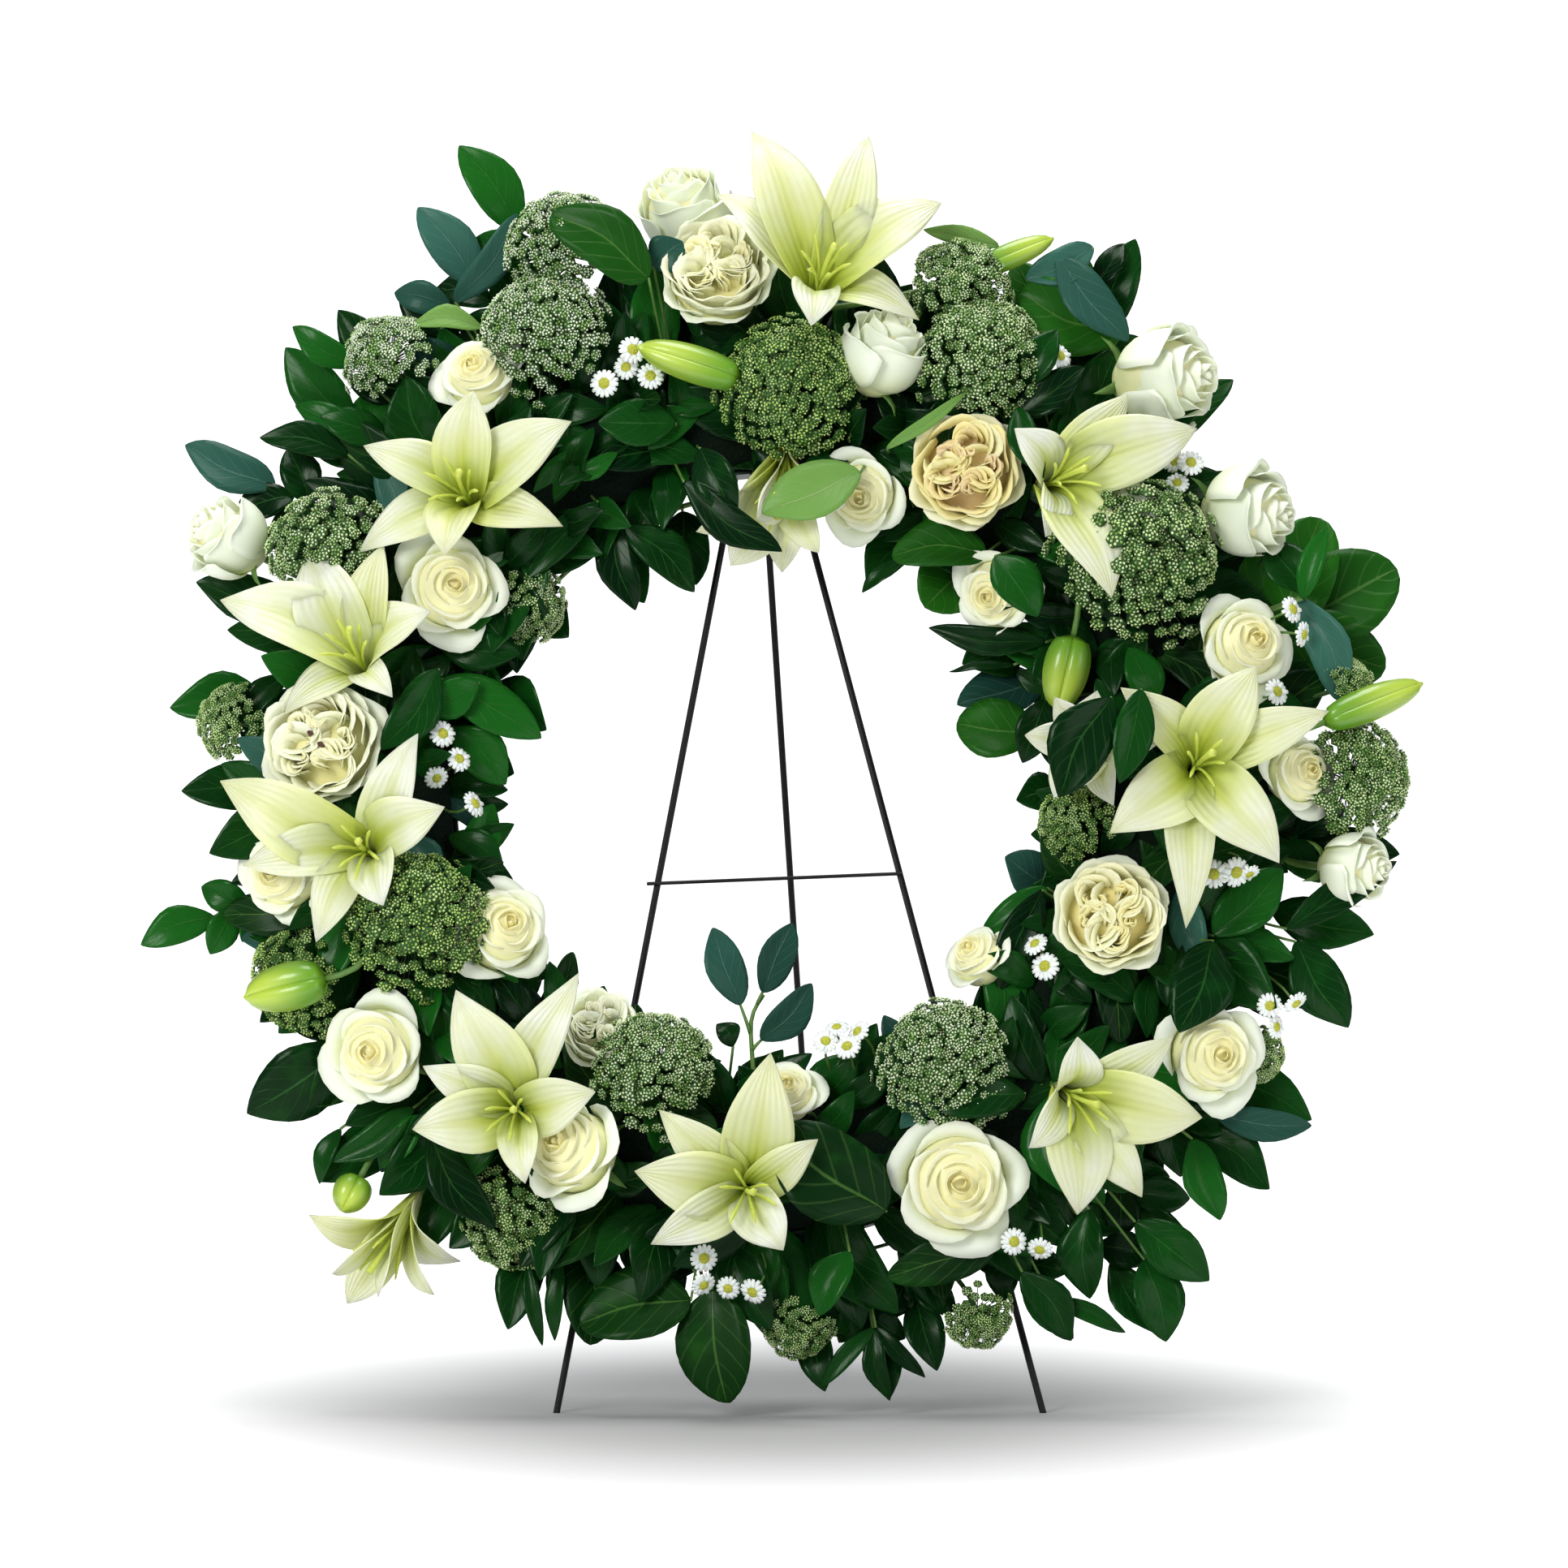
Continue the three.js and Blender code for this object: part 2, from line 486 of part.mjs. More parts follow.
// the staple that holds the ring to the easel's top bar
function staple(extra = 0) {
  const across = 1.2;
  const bend = WIRE + 1.1 + STAPLE_WIRE;
  const inFoam = 18;
  const points = [new THREE.Vector3(across, HINGE_RISE + bend, inFoam)];
  const turns = 4;
  for (let i = 0; i <= turns; i++) {
    const angle = (i / turns) * Math.PI;
    points.push(new THREE.Vector3(across, HINGE_RISE + bend * Math.cos(angle), HINGE_LIFT - bend * Math.sin(angle)));
  }
  points.push(new THREE.Vector3(across, HINGE_RISE - bend, inFoam));
  const path = new THREE.CurvePath();
  for (let i = 1; i < points.length; i++) path.add(new THREE.LineCurve3(points[i - 1], points[i]));
  return rod(path, STAPLE_WIRE, 20, STEM_SIDES, extra);
}

// ---------------------------------------------------------------- what grows on the ring
const number = (i) => String(i + 1).padStart(2, '0');
const growths = [];

LILIES.forEach((lily, i) => {
  const buds = BUDS.filter(([which]) => which === i);
  const twig = (row, extra) => {
    const from = clock(row[1], row[2], row[3]);
    const tip = clock(row[4], row[5], row[6]);
    const direction = tip.clone().sub(from).normalize();
    const join = footOf(lily, TRUMPET + 4).place;
    return stem(from.clone().addScaledVector(direction, 3), direction, join, STEM_RADII.bud, extra);
  };
  growths.push({
    name: `lily_${number(i)}`,
    finish: 'lily',
    head: (extra) => joined([lilyHead(lily, extra), ...buds.map((row) => bud(row, extra))]),
    stem: (extra) => joined([branches([footOf(lily, TRUMPET - 3)], STEM_RADII.lily, extra),
      ...buds.map((row) => twig(row, extra))]),
  });
});

UMBELS.forEach((heads, i) => growths.push({
  name: `umbel_${number(i)}`,
  finish: 'umbel',
  head: (extra) => joined(heads.map((head) => umbelHead(head, extra))),
  stem: (extra) => branches(heads.map((head) => footOf(head, 0.28 * head[5])), STEM_RADII.umbel, extra),
}));

ROSES.forEach((heads, i) => growths.push({
  name: `rose_${number(i)}`,
  finish: 'rose',
  head: (extra) => joined(heads.map((head) => roseHead(head, extra))),
  stem: (extra) => branches(heads.map((head) => footOf(head, 0.4 * ROSE_DEPTH * head[5])), STEM_RADII.rose, extra),
}));

FEVERFEW.forEach((heads, i) => growths.push({
  name: `feverfew_${number(i)}`,
  finish: 'feverfew',
  head: (extra) => joined(heads.map((head) => daisyHead(head, extra))),
  stem: (extra) => branches(heads.map((head) => footOf(head, 2)), STEM_RADII.feverfew, extra),
}));

SPRAYS.forEach((spray, i) => growths.push({
  name: `leaf_spray_${number(i)}`,
  finish: 'leaf',
  head: (extra) => sprayLeaves(spray, extra),
  stem: (extra) => sprayStem(spray, extra),
}));

// ---------------------------------------------------------------- cutting neighbours apart
function boxesMeet(a, b) {
  const p = a.boundingBox();
  const q = b.boundingBox();
  return [0, 1, 2].every((k) => p.min[k] <= q.max[k] && q.min[k] <= p.max[k]);
}

function cutBy(solid, others) {
  return others.filter((other) => boxesMeet(solid, other))
    .reduce((left, other) => left.subtract(other), solid);
}

function largest(solid) {
  return solid.decompose().reduce((best, part) => (part.volume() > best.volume() ? part : best));
}

const grownStems = growths.map((growth) => growth.stem(GAP));
const grownHeads = growths.map((growth) => growth.head(GAP));
const grownFoam = foamSolid(GAP);
const solids = growths.map((growth, i) => {
  const otherStems = grownStems.filter((_, j) => j !== i);
  const head = cutBy(growth.head(0), [grownFoam, ...grownHeads.slice(0, i), ...otherStems]);
  const stalk = cutBy(growth.stem(0), grownStems.slice(0, i));
  return largest(head.add(stalk));
});

// ---------------------------------------------------------------- scene
function meshOf(name, finishName, solid) {
  const { vertProperties, triVerts } = solid.getMesh();
  const geometry = new THREE.BufferGeometry();
  geometry.setAttribute('position', new THREE.BufferAttribute(new Float32Array(vertProperties), 3));
  geometry.setIndex(new THREE.BufferAttribute(new Uint32Array(triVerts), 1));
  geometry.computeVertexNormals();
  const mesh = new THREE.Mesh(geometry, FINISHES[finishName]());
  mesh.name = name;
  return mesh;
}

const wreath = new THREE.Group();
const grownStaple = staple(GAP);
wreath.add(meshOf('foam_ring', 'foam', cutBy(foamSolid(0), [grownStaple, ...grownStems])));
wreath.add(meshOf('ring_tray', 'tray', cutBy(traySolid(), [grownStaple, ...grownStems])));
growths.forEach((growth, i) => wreath.add(meshOf(growth.name, growth.finish, solids[i])));

const easel = new THREE.Group();
const rightLeg = frontLeg(RIGHT_FOOT, BAR_RIGHT);
easel.add(meshOf('front_leg_left', 'wire', frontLeg(LEFT_FOOT, BAR_LEFT, BAR_RIGHT - WIRE - GAP)));
easel.add(meshOf('front_leg_right', 'wire', rightLeg));
easel.add(meshOf('crossbar', 'wire', crossbar()));
easel.add(meshOf('rear_leg', 'wire', rearLeg()));
easel.add(meshOf('hanging_staple', 'wire', staple()));

const display = new THREE.Group();
display.add(wreath, easel);
display.applyMatrix4(ringToFloor);

// the origin is on the floor, under the middle of the whole display
const model = new THREE.Group();
model.add(display);
model.updateMatrixWorld(true);
const extent = new THREE.Box3().setFromObject(model, true);
display.position.x -= (extent.min.x + extent.max.x) / 2;
display.position.y -= (extent.min.y + extent.max.y) / 2;
display.position.z -= extent.min.z;

export default model;
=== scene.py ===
# %% [markdown]
# # A funeral wreath on a wire easel
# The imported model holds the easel, the foam ring and plain solids for most of the flowers and sprays. This
# script dresses it: each of those solids is replaced by petals, umbels or leaves that sit in the same
# place, and the smallest flowers and leaves are added between them.

# %% Load the frame
import math
import random

import bmesh
import bpy
from mathutils import Matrix, Vector
from mathutils.geometry import interpolate_bezier


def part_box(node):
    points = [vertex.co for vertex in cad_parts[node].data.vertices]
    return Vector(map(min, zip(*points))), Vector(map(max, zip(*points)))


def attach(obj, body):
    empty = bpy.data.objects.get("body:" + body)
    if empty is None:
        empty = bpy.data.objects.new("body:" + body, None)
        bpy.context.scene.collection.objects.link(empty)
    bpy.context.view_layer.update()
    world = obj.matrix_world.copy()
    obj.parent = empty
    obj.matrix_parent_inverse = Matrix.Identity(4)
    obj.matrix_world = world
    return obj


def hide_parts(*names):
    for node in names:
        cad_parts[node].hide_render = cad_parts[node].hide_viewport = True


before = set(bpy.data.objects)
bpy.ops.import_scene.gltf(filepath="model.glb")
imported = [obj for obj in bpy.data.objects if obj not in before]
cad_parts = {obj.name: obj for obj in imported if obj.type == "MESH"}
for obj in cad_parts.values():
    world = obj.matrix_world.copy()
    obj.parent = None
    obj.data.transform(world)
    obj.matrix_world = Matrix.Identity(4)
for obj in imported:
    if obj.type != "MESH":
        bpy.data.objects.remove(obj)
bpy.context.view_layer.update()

# %% [markdown]
# ## A clock face on the ring
# A florist places flowers round a ring as on a clock: at one o'clock, near the outer edge, standing up.
# So every place here is an hour, a reach from the ring's centre and a lift above its back, in
# millimetres. One matrix then leans the whole wreath back on its easel, as the frame has it.

# %% Clock places, directions and the ring's matrix
MM = 0.001
LEAN = math.radians(10)
FOAM_MIDDLE_LIFT = 27.2
FRONT = Vector((0, 0, 1))
GOLDEN_TURN = math.radians(137.508)

foam_low, foam_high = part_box("foam_ring")
towards_viewer = Vector((0, -math.cos(LEAN), math.sin(LEAN)))
ring_back_centre = (foam_low + foam_high) / 2 - towards_viewer * FOAM_MIDDLE_LIFT * MM
RING_TO_FLOOR = (
    Matrix.Translation(ring_back_centre)
    @ Matrix.Rotation(math.pi / 2 - LEAN, 4, "X")
    @ Matrix.Scale(MM, 4)
)


def clock(hour, reach, lift):
    """A place on the ring's clock face: hour 12 is up, the lift is towards the viewer."""
    angle = math.radians(30 * hour)
    return Vector((reach * math.sin(angle), reach * math.cos(angle), lift))


def facing(hour, outward_lean, clockwise_lean):
    """The way a head looks: straight out of the ring, then leant outwards and along the ring."""
    outward = math.radians(outward_lean)
    clockwise = math.radians(clockwise_lean)
    direction = FRONT * math.cos(outward) + clock(hour, 1, 0) * math.sin(outward)
    return direction * math.cos(clockwise) + clock(hour + 3, 1, 0) * math.sin(clockwise)


def standing(direction, place=(0, 0, 0)):
    """A matrix that sets a shape at a place with its own Z axis in a direction."""
    return Matrix.Translation(place) @ direction.to_track_quat("Z", "Y").to_matrix().to_4x4()


print("ring centre in metres:", [round(value, 4) for value in ring_back_centre])

# %% [markdown]
# ## The arrangement
# These rows follow the part's own places. A lily row ends with its six tepals: the way each one points
# on a clock of degrees, how far its tip reaches, and how much the tip rises above the throat.

# %% Places of the flowers
LILIES = [
    [0.2, 333, 98, 25, 5,
     [[335, 112, -5], [18, 104, -8], [58, 95, 0], [116, 72, 5], [190, 42, 28], [310, 93, -12]]],
    [10.4, 275, 92, 15, 0,
     [[6, 65, 20], [296, 75, -5], [58, 85, 15], [112, 72, 18], [193, 50, 28], [240, 80, -4]]],
    [9.5, 284, 90, 20, 15,
     [[293, 100, -8], [13, 76, 5], [63, 56, 22], [143, 42, 28], [335, 80, -8], [230, 62, 0]]],
    [8.6, 275, 92, 10, 0,
     [[296, 106, -5], [262, 80, 0], [66, 60, 22], [26, 83, 15], [160, 45, 28], [205, 70, 8]]],
    [7.2, 286, 94, 10, 0,
     [[334, 86, 15], [26, 98, 18], [80, 55, 20], [170, 52, 24], [258, 67, 10], [295, 65, 12]]],
    [6.1, 285, 96, 10, 0,
     [[10, 90, 15], [56, 56, 20], [150, 48, 22], [240, 72, 8], [279, 74, 10], [312, 77, 12]]],
    [3, 284, 96, 5, 0,
     [[31, 72, 18], [69, 92, 10], [143, 86, 10], [185, 112, 5], [230, 78, 18], [312, 70, 20]]],
    [4.6, 299, 94, 25, 0,
     [[2, 36, 24], [59, 76, 5], [99, 85, -5], [146, 79, -8], [179, 78, 0], [220, 48, 22]]],
    [1.5, 273, 94, 15, 15,
     [[314, 42, 22], [39, 73, 5], [69, 99, -5], [193, 46, 24], [159, 92, 24], [116, 80, -12]]],
    [7.3, 390, 48, 62, -11,
     [[277, 59, 8], [232, 54, 22], [193, 50, 24], [152, 52, 10], [118, 46, -10], [215, 60, -16]]],
    [0.1, 200, 76, -50, 0,
     [[209, 40, 22], [158, 60, 12], [211, 72, -2], [236, 72, 8], [118, 46, 5], [182, 64, -12]]],
    [2.9, 214, 94, -30, 0,
     [[5, 36, 12], [278, 45, 8], [216, 44, 8], [162, 44, 12], [91, 43, 15], [322, 40, 10]]],
]
TRUMPET = 33
TEPAL_WIDTHS = [46, 34]

# [lily it grows on, foot hour, reach, lift, tip hour, reach, lift, width]
BUDS = [
    [0, 0.74, 372, 64, 0.92, 414, 62, 19],
    [8, 2.2, 222, 74, 2.6, 196, 66, 33],
    [6, 2.83, 372, 66, 2.73, 442, 52, 25],
    [3, 8.13, 326, 90, 8.2, 380, 80, 34],
    [None, 11.86, 262, 92, 11.42, 297, 96, 27],
    [None, 7.5, 384, 52, 7.46, 408, 60, 27],
]

# [hour, reach, lift, outward lean, clockwise lean, width], one list of heads for each stem
ROSES = [
    [[11.8, 341, 72, 20, 0, 80], [11.72, 392, 42, 45, -10, 82]],
    [[0.5, 292, 76, 58, 10, 74]],
    [[1.1, 241, 78, -5, 0, 77]],
    [[0.6, 199, 64, -25, 0, 62]],
    [[10, 246, 76, -8, 0, 77]],
    [[10.8, 333, 68, 25, 0, 62]],
    [[9.8, 398, 44, 60, 0, 68]],
    [[9.1, 297, 78, 12, 0, 83]],
    [[8.6, 331, 64, 25, 0, 66]],
    [[7.96, 208, 66, -22, 0, 72]],
    [[7.8, 320, 70, 20, 0, 76]],
    [[6.9, 287, 78, 5, 35, 78], [7.1, 208, 66, -20, 0, 54]],
    [[5.9, 218, 70, -25, 0, 50]],
    [[5.2, 303, 78, 10, 0, 92]],
    [[3.8, 247, 80, 0, 0, 76]],
    [[4.1, 349, 66, 20, 0, 74]],
    [[3, 353, 58, 30, 0, 58], [3.3, 394, 42, 58, 0, 60]],
    [[2.5, 328, 66, 25, 0, 72]],
    [[2.03, 366, 56, 56, 32, 78]],
    [[1.48, 378, 60, 46, 38, 88]],
    [[1.7, 196, 58, -35, 0, 62]],
    [[4.4, 186, 54, -45, 0, 50]],
]
ROSE_NODES = 20
ROSE_DEPTH = 0.6
# many-petalled garden roses, and how warm their hearts are: (stem, head) -> warmth; one has brown flecks
FLECKED_WARMTH = 0.4
GARDEN_ROSES = {(0, 0): 0.45, (2, 0): 1.0, (7, 0): FLECKED_WARMTH, (14, 0): 0.6, (11, 1): 0.3}
# heads that are still half shut
HALF_SHUT = {(0, 1), (1, 0), (6, 0), (16, 1), (18, 0), (19, 0)}

UMBELS = [
    [[11.3, 400, 72, 38, 0, 92], [11.1, 340, 92, 15, 0, 94]],
    [[10.6, 396, 62, 38, 0, 68]],
    [[9.9, 340, 80, 20, 0, 92]],
    [[0.1, 259, 100, 0, 0, 104]],
    [[0.7, 368, 74, 32, 0, 74], [0.9, 318, 92, 12, 0, 96]],
    [[2, 289, 102, 10, 0, 120]],
    [[3, 402, 54, 32, 0, 88], [2.7, 400, 52, 48, 0, 42]],
    [[8.2, 254, 100, -5, 0, 104], [8.2, 354, 62, 52, 0, 80]],
    [[6.7, 212, 92, -15, 0, 88]],
    [[5, 227, 98, -10, 0, 94]],
    [[3.3, 200, 66, -35, 0, 62]],
    [[9.2, 372, 50, 45, 0, 56]],
    [[7, 352, 48, 40, 0, 80]],
    [[5.9, 377, 44, 48, 0, 50], [5.3, 395, 42, 48, 0, 50]],
    [[10.2, 190, 50, -50, 0, 58]],
    [[4, 382, 46, 45, 0, 42]],
]
UMBEL_NODES = 10
UMBEL_GREENNESS = [0.0, 0.0, 0.5, 1.0, 0.5, 0.65, 0.65, 1.0, 0.45, 0.3, 0.9, 0.7, 0.75, 0.7, 0.6, 0.7]
RAGGED_UMBELS = (2, 5, 7, 12, 13, 14)

FEVERFEW = [
    [[11.23, 283, 86, 5, 0, 19], [11.4, 298, 86, 12, 0, 19], [11.44, 277, 87, 0, 0, 18],
     [11.35, 289, 82, 5, 0, 17]],
    [[2.43, 365, 78, 35, 0, 18], [2.52, 368, 72, 45, 20, 17], [2.71, 342, 76, 20, 0, 18]],
    [[6.25, 330, 78, 20, 0, 18], [6.24, 347, 74, 30, -20, 17], [6.06, 349, 74, 30, 20, 18],
     [6.15, 347, 68, 40, 0, 16]],
    [[3.46, 303, 82, 10, 0, 19], [3.43, 317, 80, 14, 20, 20], [3.42, 326, 76, 40, 40, 15]],
    [[4.21, 226, 80, -8, 0, 19], [4.13, 212, 76, -30, -20, 17]],
    [[1.16, 341, 82, 20, 0, 18], [1.79, 350, 80, 25, 0, 18], [1.82, 335, 76, 5, -20, 16],
     [1.74, 343, 72, 20, 20, 16]],
    [[5.62, 187, 76, -30, 0, 17], [5.49, 194, 78, -15, 0, 18], [5.39, 186, 74, -35, 20, 17],
     [5.52, 179, 70, -45, 0, 16]],
    [[5.1, 354, 70, 30, 0, 18], [5.03, 366, 64, 35, 20, 17]],
    [[9.2, 219, 78, -20, 0, 18], [8.78, 198, 68, -50, 0, 18], [9.06, 207, 74, -30, 20, 17],
     [8.95, 222, 72, -10, -20, 16]],
    [[3.85, 367, 66, 30, 0, 17], [3.8, 382, 60, 45, 20, 17], [3.9, 377, 58, 55, -20, 16]],
]
FEVERFEW_NODES = 1
print("stems of lilies, roses, umbels and feverfew:", len(LILIES), len(ROSES), len(UMBELS), len(FEVERFEW))

# %% [markdown]
# The leaf sprays lie closer to the ring than the flowers do. Each has a stem, from the foam and round the
# ring, and leaves whose feet are on it.

# %% Places of the leaf sprays
OUTER_REACH = 321
INNER_REACH = 202
SPRAY_LIFT = 8
# how near the ring's centre and how far from it a stem stands in the foam, and the lift it ends at
FOAM_NEAREST = 236
FOAM_FURTHEST = 284
STEM_DEPTH = 26
# the most hours between two places of a spray's stem, and how far each place is moved on
STEP_HOURS = 0.4
ONWARD_HOURS = 0.04


def round_the_ring(start, end, reach):
    """Places that lead a stem out of the foam and then round the ring."""
    steps = math.ceil(abs(end - start) / STEP_HOURS)
    onward = math.copysign(ONWARD_HOURS, end - start)
    in_foam = FOAM_FURTHEST if reach == OUTER_REACH else FOAM_NEAREST
    rows = [
        [start - 2 * onward, in_foam, STEM_DEPTH - 4],
        [start, (2 * reach + in_foam) / 3, SPRAY_LIFT + 8],
    ]
    for step in range(steps + 1):
        rows.append([start + (end - start) * step / steps + onward, reach, SPRAY_LIFT])
    return rows


# [stem, leaves of [foot hour, foot reach, tip hour, tip reach, tip lift, width]]
SPRAYS = [
    [round_the_ring(11.6, 10.3, OUTER_REACH), [
        [11.35, 321, 11.14, 488, 34, 34], [11.1, 321, 10.96, 464, 30, 32], [10.85, 321, 10.78, 424, 26, 30],
        [10.6, 321, 10.6, 440, 22, 30], [10.35, 321, 10.41, 446, 24, 34]]],
    [round_the_ring(10.2, 8.5, OUTER_REACH), [
        [10.1, 321, 10.01, 460, 24, 32], [9.75, 321, 9.65, 412, 22, 32], [9.35, 321, 9.24, 408, 22, 34],
        [8.95, 321, 8.97, 396, 24, 32], [8.6, 321, 8.51, 436, 22, 25]]],
    [round_the_ring(8.15, 6.7, OUTER_REACH), [
        [7.95, 321, 7.91, 414, 24, 36], [7.6, 321, 7.6, 404, 24, 34], [7.3, 321, 7.2, 396, 20, 34],
        [6.95, 321, 6.84, 408, 26, 30], [6.75, 321, 6.58, 398, 28, 46]]],
    [round_the_ring(6.5, 5.35, OUTER_REACH), [
        [6.3, 321, 6.12, 419, 30, 46], [5.85, 321, 5.83, 412, 26, 24], [5.65, 321, 5.64, 423, 26, 24],
        [5.45, 321, 5.48, 412, 28, 26]]],
    [round_the_ring(5.25, 4.1, OUTER_REACH), [
        [5.1, 321, 5.06, 426, 26, 26], [4.87, 321, 4.84, 454, 24, 28], [4.62, 321, 4.63, 440, 24, 30],
        [4.38, 321, 4.32, 432, 24, 32], [4.15, 321, 4.08, 428, 26, 32]]],
    [round_the_ring(3.9, 2.35, OUTER_REACH), [
        [3.7, 321, 3.69, 416, 24, 36], [3.45, 321, 3.48, 418, 24, 34], [3.2, 321, 3.22, 426, 22, 30],
        [2.45, 321, 2.37, 448, 30, 62]]],
    [round_the_ring(1.8, 0.6, OUTER_REACH), [
        [1.65, 321, 1.62, 420, 24, 30], [1.3, 321, 1.12, 450, 30, 34], [1.05, 321, 0.98, 424, 28, 38],
        [0.7, 321, 0.66, 408, 26, 34]]],
    [round_the_ring(11.9, 9.1, INNER_REACH), [
        [11.75, 202, 0.02, 160, 34, 26], [11.45, 202, 11.32, 143, 30, 34], [10.95, 202, 10.84, 149, 26, 34],
        [10.3, 202, 10.2, 168, 26, 28], [9.65, 202, 9.42, 154, 34, 34], [9.2, 202, 9.05, 172, 30, 30]]],
    [round_the_ring(0.9, 3.8, INNER_REACH), [
        [1.05, 202, 0.86, 150, 26, 30], [1.35, 202, 1.38, 158, 28, 46], [1.9, 202, 1.95, 152, 30, 36],
        [2.3, 202, 2.26, 136, 32, 38], [3.1, 202, 3.15, 166, 28, 32], [3.65, 202, 3.6, 166, 26, 32]]],
    [[[6.12, 240, 34], [6.1, 208, 52], [6.14, 168, 58], [6.05, 150, 60]], [
        [6.12, 170, 6.66, 112, 64, 26], [6.05, 152, 5.72, 103, 62, 24], [6.12, 178, 5.63, 146, 66, 24]]],
]
print("leaf sprays:", len(SPRAYS))

# %% [markdown]
# ## Camera, floor and light
# The wreath is seen square on from its own height, through a long lens that flattens it. The floor and the
# wall behind it are one pale grey sheet, lit softly from above and in front, with a painted glow that turns
# it white away from the easel and leaves a painted shadow round the wreath's feet.


# %% Helpers for objects and meshes
def add_object(name, data):
    """Puts data into the scene as an object."""
    made = bpy.data.objects.new(name, data)
    bpy.context.collection.objects.link(made)
    return made


def mesh_from(bm, name):
    """The finished mesh of a build; the build ends here."""
    mesh = bpy.data.meshes.new(name)
    bm.to_mesh(mesh)
    bm.free()
    return mesh


# %% Camera
FOCAL_DISTANCE = 4.5
VIEW_WIDTH = 1.043
VIEW_RISE = 0.0027
SENSOR = 36

camera_data = bpy.data.cameras.new("studio_camera")
camera_data.sensor_width = SENSOR
camera_data.lens = SENSOR * FOCAL_DISTANCE / VIEW_WIDTH
camera = add_object("studio_camera", camera_data)
front_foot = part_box("front_leg_left")[0]
camera.location = (0, front_foot.y - FOCAL_DISTANCE, ring_back_centre.z + VIEW_RISE)
camera.rotation_euler = (math.pi / 2, 0, 0)
bpy.context.scene.camera = camera
bpy.context.scene.view_settings.view_transform = "Standard"
print("lens in millimetres:", round(camera_data.lens, 1))


# %% Helpers for colours and nodes
def colour(hex_text):
    """An sRGB hex colour as the linear values that the shader wants."""
    channels = []
    for start in (1, 3, 5):
        value = int(hex_text[start:start + 2], 16) / 255
        channels.append(value / 12.92 if value <= 0.04045 else ((value + 0.055) / 1.055) ** 2.4)
    return (*channels, 1.0)


def add_node(made, kind, inputs=None, **settings):
    """Adds a node, with its settings, and fills or links its inputs."""
    node = made.node_tree.nodes.new(kind)
    for name, value in settings.items():
        setattr(node, name, value)
    for key, value in (inputs or {}).items():
        if isinstance(value, bpy.types.NodeSocket):
            made.node_tree.links.new(value, node.inputs[key])
        else:
            node.inputs[key].default_value = value
    return node


def texture_place(made, output):
    """Where a pattern is looked up: "Object" for a place in metres, "UV" for a place on a sheet."""
    return add_node(made, "ShaderNodeTexCoord").outputs[output]


def grain(made, scale, detail=2.0):
    """Soft noise through a whole piece, about scale lumps to a metre."""
    return add_node(made, "ShaderNodeTexNoise", {
        "Vector": texture_place(made, "Object"), "Scale": scale, "Detail": detail}).outputs[0]


def pores(made, scale):
    """Round cells through a whole piece, about scale cells to a metre."""
    return add_node(made, "ShaderNodeTexVoronoi", {
        "Vector": texture_place(made, "Object"), "Scale": scale}).outputs[0]


def calculate(made, operation, *values, **settings):
    """One step of arithmetic with sockets and numbers."""
    inputs = dict(enumerate(values))
    return add_node(made, "ShaderNodeMath", inputs, operation=operation, **settings).outputs[0]


def mix_colours(made, factor, first, second):
    """Blends two colours; each may be a hex text or a socket."""
    first = colour(first) if isinstance(first, str) else first
    second = colour(second) if isinstance(second, str) else second
    return add_node(made, "ShaderNodeMix", {0: factor, 6: first, 7: second}, data_type="RGBA").outputs[2]


def ease(made, value, start, end, low=0.0, high=1.0):
    """A value eased from low at start to high at end."""
    return add_node(made, "ShaderNodeMapRange", {
        0: value, 1: start, 2: end, 3: low, 4: high}, interpolation_type="SMOOTHSTEP").outputs[0]


def new_material(name, roughness, **sockets):
    """A Principled material with constants on the shader's own sockets."""
    made = bpy.data.materials.new(name)
    made.use_nodes = True
    shader = made.node_tree.nodes["Principled BSDF"]
    shader.inputs["Roughness"].default_value = roughness
    for key, value in sockets.items():
        shader.inputs[key.replace("_", " ")].default_value = value
    return made, shader


def dress(made, shader, base, height=None, depth=0.0):
    """Joins a colour to the shader, and a relief where it has a depth in metres."""
    made.node_tree.links.new(base, shader.inputs["Base Color"])
    if depth:
        bump = add_node(made, "ShaderNodeBump", {"Strength": 1.0, "Distance": depth, "Height": height})
        made.node_tree.links.new(bump.outputs[0], shader.inputs["Normal"])


def mottled(name, roughness, pattern, first, second, depth=0.0, **sockets):
    """A finish of two colours mixed by one pattern, which may stand in relief as well."""
    made, shader = new_material(name, roughness, **sockets)
    maker, *numbers = pattern
    mottle = maker(made, *numbers)
    dress(made, shader, mix_colours(made, mottle, first, second), mottle, depth)
    return made


# %% Floor and wall
# The sheet is pale grey and glows more with the distance from the easel. This painted glow turns it white
# away from the wreath and leaves a painted shadow, a soft grey pool round the easel's feet, on top of the
# real shade from the lamps. The glow is an ellipse: these two scales say how fast it grows across and along
# the floor.
GLOW_ACROSS = 2.95
GLOW_ALONG = 1.9
GLOW_BEHIND_FEET = 0.05
GLOW_START = 0.35
GLOW_FULL = 1.8

